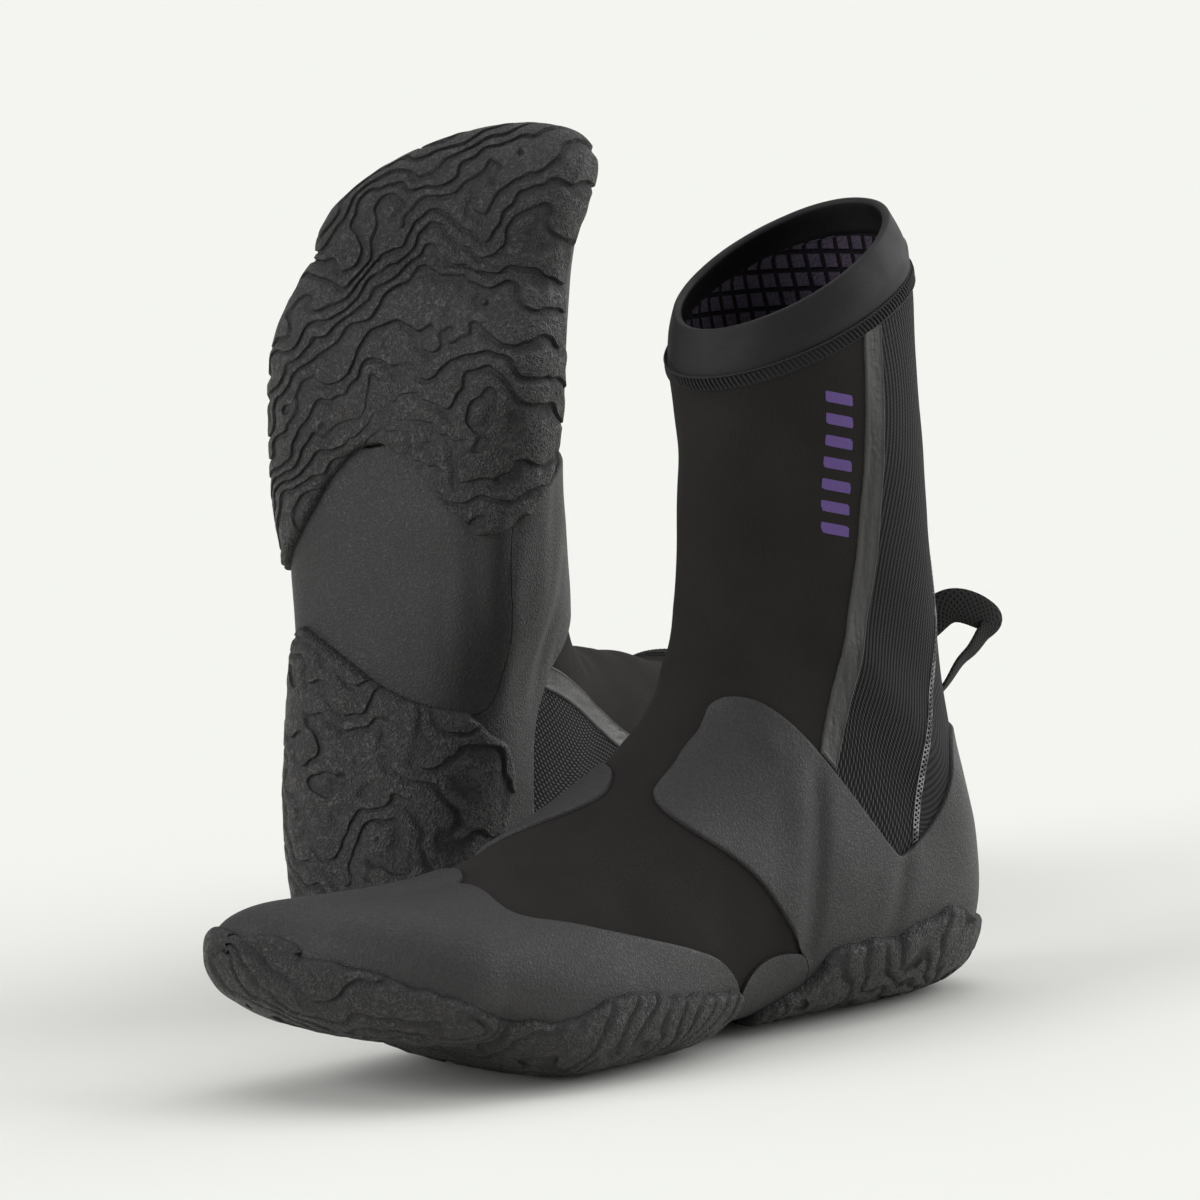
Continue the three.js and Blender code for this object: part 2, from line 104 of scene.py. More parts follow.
TOE_TIP = np.array([284.5, -26, 47])
CUFF_ROW = 12.0
HAIR = 0.001                           # how far, in rows, a piece stops short of the cuff's seam
UNDER_CUFF_SEAM = CUFF_ROW - 0.08      # where tapes and stitches end under the cuff's stitching
RIM_ROW = 14.0
LINING_ROW = 12.7

# Outlines in side view, as x z.
TOE_CAP_OUTER = [
    (131, 10), (131, 20.5), (142, 31.5), (156, 38), (190, 48), (205, 52.5), (218, 55), (222, 58),
    (219, 62), (211, 66), (211, 100), (310, 100), (310, -30), (182, -30), (182, 10),
]
TOE_CAP_INNER = [
    (160, 10), (163, 19), (182, 33.5), (190, 42), (211, 66), (211, 100), (310, 100), (310, -30),
    (182, -30), (182, 10),
]
ARCH_OUTER = [
    (82, -30), (82, 10), (97, 10), (97, 25.5), (103, 28), (112, 29.2), (123, 27.5), (131, 20.5),
    (131, 10), (182, 10), (182, -30),
]
ARCH_INNER = [
    (82, -30), (82, 10), (88, 10), (91, 22), (111, 22.5), (122, 20), (134, 17.5), (148, 16),
    (159, 17), (160, 10), (182, 10), (182, -30),
]
HEEL_WRAP_OUTER = [
    (-50, -30), (82, -30), (82, 10), (97, 10), (97, 25.5), (103, 28), (106, 35), (116, 50),
    (127, 61.5), (140, 71), (146, 78), (145, 83), (138, 87), (130, 92), (122, 98), (116, 103.5),
    (112.5, 109), (108, 112), (101, 109), (90, 97), (72, 73), (56, 53), (51, 53.5), (37, 61),
    (28, 71), (22, 84), (12, 91), (-50, 94),
]
HEEL_WRAP_INNER = [
    (-50, -30), (82, -30), (82, 10), (88, 10), (91, 22), (111, 22.5), (122, 20), (134, 17.5),
    (148, 16), (159, 17), (165, 29), (174, 45), (184, 73), (184, 100), (139, 100), (136, 90),
    (122, 78), (108, 61), (97, 51), (82, 46), (60, 50), (37, 61), (28, 71), (22, 84), (12, 91),
    (-50, 94),
]
INSTEP_TAB_PLAN = [
    (215, -60), (190, -40), (180.5, -15), (177, -8), (171, -2), (164.5, 3), (157, 6), (151, 5),
    (143, -0.5), (137, -11), (133, -17), (116, -16), (100, -16), (100, -90), (215, -90),
]
TAPE_OUTER = [
    (57, 262), (59.5, 202), (60.5, 175), (62, 150), (66, 130), (72, 111), (79, 95), (86, 80), (95, 62),
]
TAPE_INNER = [
    (57, 262), (59.5, 202), (61.5, 175), (68, 145), (77, 125), (87, 104), (97, 76), (103, 50), (107, 38),
]
FLATLOCK = [(17, 262), (17, 200), (19, 150), (25, 121), (31, 101), (40, 83), (45, 61), (48, 45)]
MESH_FOOT_OUTER = [(64, 45)]
MESH_FOOT_INNER = [(70, 30)]
HEEL_CORD_EDGE = [(40, 30), (-60, 30), (-60, 262)]
# In plan the inner instep tab's outline rules ahead of TAB_START, above TAB_FOOT, and it laps over
# the ridge by TAB_LAP ahead of TAB_LAP_START.
TAB_START, TAB_LAP_START, TAB_FOOT, TAB_LAP = 118, 126, 55, 9

# The outsole pods: top edges in side view, and the ends of the pods seen from below.
FOREFOOT_TOP_OUTER = [
    (118, 4), (128, 17), (137, 20.5), (158, 22.5), (170, 24), (182, 27.5), (196, 28.5), (211, 23.5),
    (222, 23), (239, 28), (258, 37.5), (274, 45.5), (283, 52), (300, 57),
]
FOREFOOT_TOP_INNER = [
    (147, 4), (157, 19.5), (168, 30.5), (178, 35.5), (188, 37.5), (212, 36), (236, 37), (258, 43),
    (276, 51), (300, 57),
]
HEEL_TOP_OUTER = [
    (-40, 24), (5, 24), (14, 27), (22, 32), (30, 32.5), (46, 27.5), (60, 27), (80, 30), (88, 27),
    (92, 20), (99, 15), (108, 12), (114, 8), (116, 3),
]
HEEL_TOP_INNER = [
    (-40, 24), (5, 24), (22, 29), (45, 33), (58, 35.5), (66, 35.5), (75, 31), (82, 24), (87, 17),
    (92, 12), (108, 10), (109, 3),
]
FOREFOOT_REAR = [
    (118, 90), (118, 48), (130, 42), (144, 33), (155, 26), (166, 20), (174, 13), (178, 4), (176, -3),
    (170, -12), (161, -20), (153, -30), (148, -38), (147, -90), (330, -90), (330, 90),
]
HEEL_FRONT = [
    (116, 90), (115, 34), (109.5, 21), (103, 8), (97, -3), (93, -14), (90, -27), (88, -90),
    (-60, -90), (-60, 90),
]
BELOW_GROUND = -40.0

BAR_COUNT, BARS_FOOT, BAR_PITCH = 7, 160, 7.2
BAR_BACK, BAR_FRONT, BAR_LEAN, BAR_HEIGHT = 68.5, 77.5, 2.4, 3.6

LOOP_FOOT, LOOP_HEAD = (4.7, 92.0), (11.0, 127.0)
# The pull loop's middle line as reach, height, width and twist in degrees, above LOOP_FOOT.
LOOP_LINE = np.array([
    [-1.5, 26, 12.5, 4], [6, 29.5, 12.5, 4], [13, 33, 12, 4], [18.5, 32.8, 11.5, 5],
    [24.5, 29.3, 11, 9], [28.3, 25, 9.5, 20], [24.5, 21, 8.5, 38], [20.5, 17, 8.5, 46],
    [15.5, 13.5, 8.5, 54], [9.5, 7, 8.5, 62], [3.5, 2.5, 8.5, 70], [-1.5, 0, 8.5, 72],
])
WEB_THICKNESS = 1.5
LOOP_SINK = 1.1                        # how far the loop's ends sit into the heel cord panel

# How far apart a grid's points are, along and round the skin.
PANEL_GRID = (2.1, 1.9)
LINING_GRID = (3.2, 3.0)
RUBBER_GRID = (1.7, 1.5)
SOLE_GRID = (1.1, 1.1)
TAPE_GRID = (1.3, 1.2)
CUFF_GRID = (1.4, 1.4)
SEAM_GRID = (0.9, 1.1)
FLATLOCK_GRID = (0.9, 0.9)
PRINT_GRID = (1.6, 1.2)

# ---------------------------------------------------------------- the skin of the foot


def spline(values, t):
    """A Catmull-Rom curve through rows of values, read at fractional row numbers t."""
    last = len(values) - 1
    i = np.clip(np.floor(t).astype(int), 0, last - 1)
    f = (t - i)[:, None]
    before, here = values[np.maximum(i - 1, 0)], values[i]
    ahead, beyond = values[i + 1], values[np.minimum(i + 2, last)]
    return 0.5 * (
        2 * here + (ahead - before) * f
        + (2 * before - 5 * here + 4 * ahead - beyond) * f ** 2
        + (3 * here - before - 3 * ahead + beyond) * f ** 3
    )


def section_points(rows, theta, drop):
    """Points of the cross-sections in rows, at angles theta from the bottom round the outside."""
    c, s = np.cos(theta)[None, :], np.sin(theta)[None, :]
    low, way = rows[:, 2:4], rows[:, 0:2] - rows[:, 2:4]
    reach = np.linalg.norm(way, axis=1, keepdims=True)
    unit = way / reach
    roundness = np.where(c > 0, rows[:, 7:8], rows[:, 8:9])
    amount = np.abs(c) ** (2 / roundness)
    waist = rows[:, 6:7]
    lift = np.where(c > 0, waist * (1 - amount), waist + (1 - waist) * amount)
    half = np.where(s > 0, rows[:, 4:5], rows[:, 5:6])
    fall = drop * rows[:, 9:10]
    height = lift * (reach + fall) - fall
    return np.stack([
        low[:, 0:1] + unit[:, 0:1] * height,
        half * np.sign(s) * np.abs(s) ** (2 / roundness),
        low[:, 1:2] + unit[:, 1:2] * height,
    ], axis=-1)


def toe_points(turns, first, middle):
    """Rings that close the toe: the first section's points drawn in towards the tip."""
    shrink, ahead = np.cos(turns)[:, None, None], np.sin(turns)[:, None, None]
    centre = middle + (TOE_TIP - middle) * np.concatenate([ahead, ahead ** 2, ahead ** 2], axis=-1)
    scale = np.concatenate([shrink ** 0.9, shrink ** 0.9, shrink ** 0.8], axis=-1)
    return centre + (first - middle) * scale


def skin_points(t, theta, drop=0.0):
    """The neoprene's outer face at rows t, from -1 at the toe's tip to RIM_ROW at the rim."""
    even = np.arange(16) / 16 * 2 * math.pi
    middle = section_points(SECTIONS[:1], even, drop)[0].mean(0)
    first = section_points(SECTIONS[:1], theta, drop)[0]
    toe = toe_points(-t[t < 0] * math.pi / 2 * 0.98, first, middle)
    rest = section_points(spline(SECTIONS, t[t >= 0]), theta, drop)
    return np.concatenate([toe, rest])


def lengths_along(line):
    """How far along a line each of its points is."""
    return np.concatenate([[0], np.cumsum(np.linalg.norm(np.diff(line, axis=0), axis=1))])


def normals_of(points):
    """Outward normals of a grid whose last column repeats its first."""
    nxt = np.concatenate([points[:, 1:], points[:, 1:2]], axis=1)
    before = np.concatenate([points[:, -2:-1], points[:, :-1]], axis=1)
    ahead = np.concatenate([points[1:], points[-1:]])
    behind = np.concatenate([points[:1], points[:-1]])
    across = np.cross(ahead - behind, nxt - before)
    length = np.linalg.norm(across, axis=-1, keepdims=True)
    return across / np.maximum(length, 1e-9)


def noise_at(points, size, seed=0.0):
    """Smooth noise from about -0.5 to 0.5 that varies over size millimetres."""
    scaled = points.reshape(-1, 3) / size + seed * 7.31
    values = [noise.noise(Vector(p)) for p in scaled.tolist()]
    return np.array(values).reshape(points.shape[:-1])


def ease(value, low, high):
    """0 below low, 1 above high and smooth between."""
    t = np.clip((value - low) / (high - low), 0, 1)
    return t * t * (3 - 2 * t)


# Upright folds on the heel wrap's outer side: x at the foot, lean back, lowest z, highest z, depth.
SIDE_FOLDS = [(97, 0.155, 20, 94, 1.5), (57, 0.25, 20, 62, 1.2)]


def soft_shape(points):
    """How far the foot's soft surface swells or sinks from its plain sections."""
    x, y, z = points[..., 0], points[..., 1], points[..., 2]
    lumps = 0.7 * noise_at(points, 42, 1) + 0.35 * noise_at(points, 17, 2)
    on_top = ease(z, 40, 52)
    valley_y = 6 - 0.16 * (x - 205)
    valley = -2.2 * np.exp(-((y - valley_y) / 8) ** 2) * ease(x, 205, 235) * on_top
    stretched = points * np.array([0.16, 1, 1])
    inside = ease(-y, 18, 34) * ease(x, 84, 104) * ease(-x, -178, -150) * ease(-z, -66, -46)
    wrinkles = 1.9 * noise_at(stretched, 9.5, 3) * inside
    instep = points * np.array([1, 0.25, 1])
    bend = ease(x, 96, 104) * ease(-x, -150, -128) * ease(z, 84, 96) * ease(-z, -152, -128)
    creases = 1.0 * noise_at(instep, 11, 4) * bend
    folds = 0.0
    for foot_x, lean, low, high, depth in SIDE_FOLDS:
        away = x - foot_x + lean * (z - 30)
        window = ease(z, low, low + 8) * ease(-z, -high, -high + 18) * ease(y, 12, 24)
        folds += depth * (0.45 * np.exp(-((away - 9) / 5) ** 2) - np.exp(-(away / 3.4) ** 2)) * window
    return lumps + valley + wrinkles + creases + folds


def row_spacing(step, first, last, drop):
    """Row numbers about step millimetres apart on the longer of the foot's two middle lines."""
    t = np.linspace(first, last, 1200)
    line = skin_points(t, np.array([1e-6, math.pi]), drop)
    move = np.linalg.norm(np.diff(line, axis=0), axis=-1).max(1)
    along = np.concatenate([[0], np.cumsum(move)])
    count = int(along[-1] / step) + 1
    return np.interp(np.linspace(0, along[-1], count), along, t)


# Angles of half a section, packed towards its bottom and top where the surface turns fastest.
EASED = 0.5 - 0.5 * np.cos(math.pi * np.linspace(0, 1, 71))
QUARTER = (0.5 - 0.5 * np.cos(math.pi * EASED)) * math.pi / 2
HALF_TURN = np.concatenate([QUARTER, math.pi - QUARTER[-2::-1]])


def skin_grid(steps, first=-1.0, last=RIM_ROW, middle="top", drop=0.0, rows=None, columns=None):
    """A fine grid on the skin with even columns. cloth is each point's place on the surface in
    millimetres, across from the top or bottom middle line and along from the toe."""
    step_along, step_round = steps
    t = row_spacing(step_along, first, last, drop) if rows is None else rows
    halves, widths, count = [], [], columns
    for sign in (1, -1):
        dense = skin_points(t, sign * HALF_TURN, drop)
        arcs = np.concatenate([
            np.zeros((len(t), 1)), np.cumsum(np.linalg.norm(np.diff(dense, axis=1), axis=-1), axis=1),
        ], axis=1)
        count = count or int(arcs[:, -1].max() / step_round)
        share = np.linspace(0, 1, count + 1)
        half = np.stack([
            np.stack([np.interp(share * arc[-1], arc, dense[k, :, axis]) for axis in range(3)], axis=-1)
            for k, arc in enumerate(arcs)
        ])
        halves.append(half)
        widths.append(share[None, :] * arcs[:, -1:])
    outer, inner = halves
    if middle == "bottom":
        points = np.concatenate([inner[:, ::-1], outer[:, 1:]], axis=1)
        across = np.concatenate([-widths[1][:, ::-1], widths[0][:, 1:]], axis=1)
    else:
        points = np.concatenate([outer, inner[:, -2::-1]], axis=1)
        across = np.concatenate([
            widths[0] - widths[0][:, -1:], (widths[1][:, -1:] - widths[1])[:, -2::-1],
        ], axis=1)
    closes = t[0] <= -1 + 1e-3
    if closes:
        tip = np.repeat(points[:1].mean(axis=1, keepdims=True), points.shape[1], axis=1)
        points = np.concatenate([tip, points])
        across = np.concatenate([across[:1], across])
        t = np.concatenate([t[:1], t])
    normals = normals_of(points)
    if closes:
        normals[0] = normals[1].mean(0) / np.linalg.norm(normals[1].mean(0))
    points = points + normals * soft_shape(points)[..., None]
    points[:, -1] = points[:, 0]
    move = np.linalg.norm(np.diff(points, axis=0), axis=-1)
    along = np.concatenate([np.zeros((1, points.shape[1])), np.cumsum(move, axis=0)])
    return {
        "point": points, "normal": normals, "cloth": np.stack([across, along], axis=-1),
        "row": np.repeat(t[:, None], points.shape[1], axis=1),
    }


# ---------------------------------------------------------------- outlines on the skin


def smoothed(points, times=2, closed=True):
    """Chaikin's corner cutting."""
    line = np.array(points, float)
    for _ in range(times):
        after = np.roll(line, -1, axis=0) if closed else line[1:]
        start = line if closed else line[:-1]
        cut = np.stack([0.75 * start + 0.25 * after, 0.25 * start + 0.75 * after], axis=1).reshape(-1, 2)
        line = cut if closed else np.concatenate([line[:1], cut, line[-1:]])
    return line


def distance_to(line, x, y, closed):
    """Distance from each x, y to a line, and whether it is inside when the line is closed."""
    shape = x.shape
    p = np.stack([x.ravel(), y.ravel()], axis=1)
    best = np.full(len(p), 1e12)
    inside = np.zeros(len(p), bool)
    ends = np.roll(line, -1, axis=0) if closed else line[1:]
    starts = line if closed else line[:-1]
    for a, b in zip(starts, ends):
        way = b - a
        share = np.clip(((p - a) @ way) / max(way @ way, 1e-12), 0, 1)
        gap = p - a - share[:, None] * way
        best = np.minimum(best, (gap ** 2).sum(1))
        if closed and a[1] != b[1]:
            crossing = (a[1] > p[:, 1]) != (b[1] > p[:, 1])
            at = a[0] + (p[:, 1] - a[1]) / (b[1] - a[1]) * way[0]
            inside ^= crossing & (p[:, 0] < at)
    return np.sqrt(best).reshape(shape), inside.reshape(shape)


def inside_of(outline, x, y, times=2):
    """Positive inside an outline and negative outside, by the distance to its edge."""
    distance, inside = distance_to(smoothed(outline, times), x, y, True)
    return np.where(inside, distance, -distance)


def on_surface(field, grid):
    """A side-view distance turned into a distance along the surface, near its zero line."""
    points = grid["point"]
    pu, pv = np.gradient(points, axis=1), np.gradient(points, axis=0)
    fu, fv = np.gradient(field, axis=1), np.gradient(field, axis=0)
    e, f, g = (pu * pu).sum(-1), (pu * pv).sum(-1), (pv * pv).sum(-1)
    area = np.maximum(e * g - f * f, 1e-9)
    steep = np.sqrt(np.maximum((g * fu * fu - 2 * f * fu * fv + e * fv * fv) / area, 0))
    return field / np.clip(steep, 0.25, 1.5)


def both_sides(outer, inner, grid):
    """Inside the outer outline on the outside of the foot and the inner one on the inside."""
    x, y, z = np.moveaxis(grid["point"], -1, 0)
    share = ease(y, -7, 7)
    return share * inside_of(outer, x, z) + (1 - share) * inside_of(inner, x, z)


def heel_wrap_field(grid):
    """The heel wrap, with the inner instep tab lapping over the ridge of the foot."""
    x, y, z = np.moveaxis(grid["point"], -1, 0)
    outer = inside_of(HEEL_WRAP_OUTER, x, z)
    inner = inside_of(HEEL_WRAP_INNER, x, z)
    above = z > TAB_FOOT
    trimmed = np.minimum(inner, inside_of(INSTEP_TAB_PLAN, x, y))
    tab = np.where((x > TAB_START) & above, trimmed, inner)
    lap = np.where((x > TAB_LAP_START) & (y < TAB_LAP) & above, tab, -40.0)
    return np.where(y > 0, np.maximum(outer, lap), tab)


def pod_field(top_outer, top_inner, plan, grid):
    """An outsole pod: below its top edge, and behind or ahead of its inner end on the ground."""
    x, y, z = np.moveaxis(grid["point"], -1, 0)
    outer, inner = (
        inside_of(top + [(top[-1][0], BELOW_GROUND), (top[0][0], BELOW_GROUND)], x, z)
        for top in (top_outer, top_inner)
    )
    return np.minimum(np.where(y > 0, outer, inner), inside_of(plan, x, y))


# ---------------------------------------------------------------- cutting and closing shells


def flatten(grid):
    """A grid's arrays as lists of vertices, with two triangles to each cell."""
    rows, columns = grid["point"].shape[:2]
    at = np.arange(rows * columns).reshape(rows, columns)
    a, b, c, d = at[:-1, :-1], at[1:, :-1], at[1:, 1:], at[:-1, 1:]
    faces = np.concatenate([
        np.stack([a, b, c], axis=-1).reshape(-1, 3), np.stack([a, c, d], axis=-1).reshape(-1, 3),
    ])
    mesh = {k: v.reshape(rows * columns, -1).astype(float) for k, v in grid.items()}
    mesh["faces"] = faces
    return mesh


def add_level(mesh, field, level):
    """Puts edges along the line where a field has this value."""
    value = mesh[field][:, 0] - level
    above = value > 0
    faces = mesh["faces"]
    count = above[faces].sum(1)
    mixed = (count == 1) | (count == 2)
    crossed = faces[mixed]
    if not len(crossed):
        return
    single = above[crossed] == (count[mixed] == 1)[:, None]
    k = single.argmax(1)
    row = np.arange(len(crossed))
    a, b, c = crossed[row, k], crossed[row, (k + 1) % 3], crossed[row, (k + 2) % 3]
    edges = np.sort(np.concatenate([np.stack([a, b], 1), np.stack([a, c], 1)]), axis=1)
    unique, inverse = np.unique(edges, axis=0, return_inverse=True)
    inverse = inverse.ravel()
    start, end = unique[:, 0], unique[:, 1]
    share = (value[start] / (value[start] - value[end]))[:, None]
    size = len(value)
    for name, array in mesh.items():
        if name != "faces":
            mesh[name] = np.concatenate([array, array[start] + share * (array[end] - array[start])])
    ab, ac = size + inverse[:len(a)], size + inverse[len(a):]
    mesh["faces"] = np.concatenate([
        faces[~mixed], np.stack([a, ab, ac], 1), np.stack([ab, b, c], 1), np.stack([ab, c, ac], 1),
    ])


def keep_inside(mesh, field):
    """Cuts a mesh at the zero line of a field and keeps the positive side."""
    add_level(mesh, field, 0.0)
    middle = mesh[field][mesh["faces"], 0].mean(1)
    mesh["faces"] = mesh["faces"][middle > 0]
    used, new = np.unique(mesh["faces"], return_inverse=True)
    for name, array in mesh.items():
        if name != "faces":
            mesh[name] = array[used]
    mesh["faces"] = new.reshape(-1, 3)


def weld(points):
    """One number for all the points that share a place."""
    _, first, same = np.unique(np.round(points * 1e4).astype(np.int64), axis=0,
                               return_index=True, return_inverse=True)
    return first, same.ravel()


def closed_shell(mesh, top, under):
    """A closed body between two places of every vertex, as points, faces and sources."""
    size = len(top)
    _, same = weld(mesh["point"])
    corners = np.concatenate([mesh["faces"][:, pair] for pair in ([0, 1], [1, 2], [2, 0])])
    edges = same[corners]
    key, back = edges[:, 0] * size + edges[:, 1], edges[:, 1] * size + edges[:, 0]
    border = corners[~np.isin(key, back) & (edges[:, 0] != edges[:, 1])]
    points = np.concatenate([top, under])
    sources = np.tile(np.arange(size), 2)
    a, b = border[:, 0], border[:, 1]
    all_faces = np.concatenate([
        mesh["faces"], mesh["faces"][:, ::-1] + size,
        np.stack([b, a, a + size], 1), np.stack([b, a + size, b + size], 1),
    ])
    return points, all_faces, sources


def rounded(distance, radius):
    """0 at an edge, rising as a quarter circle to 1 at the radius."""
    return np.sqrt(np.clip(1 - (1 - np.clip(distance / radius, 0, 1)) ** 2, 0, 1))


# ---------------------------------------------------------------- placing pieces on the boots


def turned(axis, degrees):
    return np.array(Matrix.Rotation(math.radians(degrees), 3, axis))


TURNS = {
    "left": turned("Z", LEFT_YAW),
    "right": turned("X", RIGHT_ROLL) @ turned("Y", -RIGHT_LIE) @ np.diag([1.0, -1.0, 1.0]),
}


def plain_lining():
    """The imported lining's own corners, to find where each boot stands."""
    t = np.concatenate([-np.array([3, 2, 1]) / 3.0, np.arange(15)])
    theta = np.arange(17) / 16 * 2 * math.pi
    points = skin_points(t, theta)
    return (points + normals_of(points) * -(NEOPRENE + 0.3)).reshape(-1, 3)


def boot_shift(foot):
    """Where the boot's own origin lies, in metres, from a corner of its packed lining."""
    turned_points = plain_lining() @ TURNS[foot].T * MM
    low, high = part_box(f"{foot}_lining")
    if foot == "left":
        return np.array(low) - turned_points.min(0)
    return np.array(high) - turned_points.max(0)


SHIFTS = {foot: boot_shift(foot) for foot in TURNS}


def make_piece(name, points, faces, corner_uv, values, material):
    """A mesh object from arrays in metres, with its doubles merged and its flat faces dropped."""
    first, same = weld(points / MM)
    faces = same[faces]
    whole = (faces[:, 0] != faces[:, 1]) & (faces[:, 1] != faces[:, 2]) & (faces[:, 2] != faces[:, 0])
    faces, corner_uv = faces[whole], corner_uv[whole]
    mesh = bpy.data.meshes.new(name)
    mesh.vertices.add(len(first))
    mesh.vertices.foreach_set("co", points[first].astype(np.float32).ravel())
    mesh.loops.add(faces.size)
    mesh.loops.foreach_set("vertex_index", faces.astype(np.int32).ravel())
    mesh.polygons.add(len(faces))
    mesh.polygons.foreach_set("loop_start", np.arange(0, faces.size, 3, dtype=np.int32))
    uv = mesh.uv_layers.new(name="cloth")
    uv.data.foreach_set("uv", corner_uv.astype(np.float32).ravel())
    for key, value in values.items():
        array = np.asarray(value, np.float32)[first]
        if array.ndim == 1:
            mesh.attributes.new(key, "FLOAT", "POINT").data.foreach_set("value", array)
        else:
            mesh.attributes.new(key, "FLOAT_VECTOR", "POINT").data.foreach_set("vector", array.ravel())
    mesh.update()
    mesh.validate()
    mesh.shade_smooth()
    mesh.set_sharp_from_angle(angle=math.radians(48))
    mesh.materials.append(material)
    piece = bpy.data.objects.new(name, mesh)
    bpy.context.scene.collection.objects.link(piece)
    return piece


def put_on_boots(part, shell, cloth, values, finish, node=None, body="boot", feet=("left", "right")):
    """Places one shell, given in a boot's own millimetres, on both boots."""
    points, faces = shell
    values = dict(values, own=points)
    for foot in feet:
        order = faces if foot == "left" else faces[:, ::-1]
        placed = points @ TURNS[foot].T * MM + SHIFTS[foot]
        placed[:, 2] = np.maximum(placed[:, 2], 0)
        piece = make_piece(f"{foot}_{part}", placed, order, cloth[order], values, FINISHES[finish])
        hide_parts(f"{foot}_{node or part}")
        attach(piece, f"{foot}_{body}")


def shell_on_boots(part, mesh, top, under, finish, values=None, node=None):
    """Closes a cut mesh between two heights above the skin and places it on both boots."""
    upper = top if top.ndim == 2 else mesh["point"] + mesh["normal"] * top[:, None]
    lower = under if under.ndim == 2 else mesh["point"] + mesh["normal"] * under[:, None]
    points, faces, sources = closed_shell(mesh, upper, lower)
    values = {k: v[sources] for k, v in (values or {}).items()}
    values["edge"] = mesh["phi"][sources, 0]
    put_on_boots(part, (points, faces), mesh["cloth"][sources], values, finish, node)


# ---------------------------------------------------------------- finishes


class Finish:
    """A node material under construction; every pattern reads own millimetres or the cloth map."""

    def __init__(self, name, roughness, specular):
        self.material = bpy.data.materials.new(name)
        self.material.use_nodes = True
        self.nodes = self.material.node_tree.nodes
        self.links = self.material.node_tree.links
        self.shader = self.nodes["Principled BSDF"]
        self.shader.inputs["Roughness"].default_value = roughness
        self.shader.inputs["Specular IOR Level"].default_value = specular
        self.own = self.attribute("own").outputs["Vector"]
        self.up = self.axes(self.own)[2]
        cloth = self.nodes.new("ShaderNodeUVMap")
        cloth.uv_map = "cloth"
        self.across, self.along, _ = self.axes(cloth.outputs["UV"])

    def axes(self, vector):
        split = self.nodes.new("ShaderNodeSeparateXYZ")
        self.links.new(vector, split.inputs[0])
        return split.outputs

    def attribute(self, name):
        node = self.nodes.new("ShaderNodeAttribute")
        node.attribute_name = name
        return node

    def value(self, name):
        return self.attribute(name).outputs["Fac"]

    def wire(self, source, socket):
        if isinstance(source, (int, float)):
            socket.default_value = source
        elif isinstance(source, tuple):
            socket.default_value = (*source, 1.0)[:len(socket.default_value)]
        else:
            self.links.new(source, socket)

    def math(self, operation, a, b=0.0, clamp=False):
        node = self.nodes.new("ShaderNodeMath")
        node.operation = operation
        node.use_clamp = clamp
        self.wire(a, node.inputs[0])
        self.wire(b, node.inputs[1])
        return node.outputs[0]

    def times(self, a, b):
        return self.math("MULTIPLY", a, b)

    def plus(self, a, b):
        return self.math("ADD", a, b)

    def off_middle(self, value):
        """How far a value is from one half, either way."""
        return self.math("ABSOLUTE", self.math("SUBTRACT", value, 0.5))

    def noise(self, size, detail=2.0, stretch=(1, 1, 1), distortion=0.0):
        """Soft noise over size millimetres; a stretch below 1 draws it out along that axis."""
        scale = self.nodes.new("ShaderNodeVectorMath")
        scale.operation = "MULTIPLY"
        self.wire(self.own, scale.inputs[0])
        scale.inputs[1].default_value = stretch
        node = self.nodes.new("ShaderNodeTexNoise")
        self.wire(scale.outputs[0], node.inputs["Vector"])
        node.inputs["Scale"].default_value = 1 / size
        node.inputs["Detail"].default_value = detail
        node.inputs["Distortion"].default_value = distortion
        return node.outputs["Fac"]

    def cells(self, size, warp):
        """Distance to the middle of smooth cells, pushed out of line by warp millimetres."""
        bend = self.nodes.new("ShaderNodeTexNoise")
        self.wire(self.own, bend.inputs["Vector"])
        bend.inputs["Scale"].default_value = 0.6 / size
        move = self.nodes.new("ShaderNodeVectorMath")
        move.operation = "MULTIPLY_ADD"
        self.wire(bend.outputs["Color"], move.inputs[0])
        move.inputs[1].default_value = (warp, warp, warp)
        self.wire(self.own, move.inputs[2])
        node = self.nodes.new("ShaderNodeTexVoronoi")
        node.feature = "SMOOTH_F1"
        self.wire(move.outputs[0], node.inputs["Vector"])
        node.inputs["Scale"].default_value = 1 / size
        return node.outputs["Distance"]

    def worms(self, size, width=0.13, distortion=0.6):
        """Winding ridges: 1 along the middle of smooth noise and 0 away from it."""
        level = self.noise(size, 1, distortion=distortion)
        return self.ramp(self.off_middle(level), 0.0, width, 1.0, 0.0)

    def wave(self, coordinate, pitch):
        """0 to 1 and back once every pitch millimetres."""
        turns = self.times(coordinate, 2 * math.pi / pitch)
        return self.plus(self.times(self.math("COSINE", turns), 0.5), 0.5)

    def fraction(self, value):
        return self.math("FRACT", value)

    def ramp(self, value, low, high, to_low=0.0, to_high=1.0):
        node = self.nodes.new("ShaderNodeMapRange")
        node.interpolation_type = "SMOOTHSTEP"
        self.wire(value, node.inputs["Value"])
        limits = {"From Min": low, "From Max": high, "To Min": to_low, "To Max": to_high}
        for name, number in limits.items():
            node.inputs[name].default_value = number
        return node.outputs["Result"]

    def mix(self, share, a, b):
        node = self.nodes.new("ShaderNodeMix")
        node.data_type = "RGBA"
        sockets = {socket.identifier: socket for socket in node.inputs}
        self.wire(share, sockets["Factor_Float"])
        self.wire(a, sockets["A_Color"])
        self.wire(b, sockets["B_Color"])
        return node.outputs[2]

    def bump(self, height, depth):
        """Bump where height 0 to 1 stands for depth millimetres."""
        node = self.nodes.new("ShaderNodeBump")
        node.inputs["Strength"].default_value = 1.0
        node.inputs["Distance"].default_value = depth * MM
        self.wire(height, node.inputs["Height"])
        return node.outputs["Normal"]

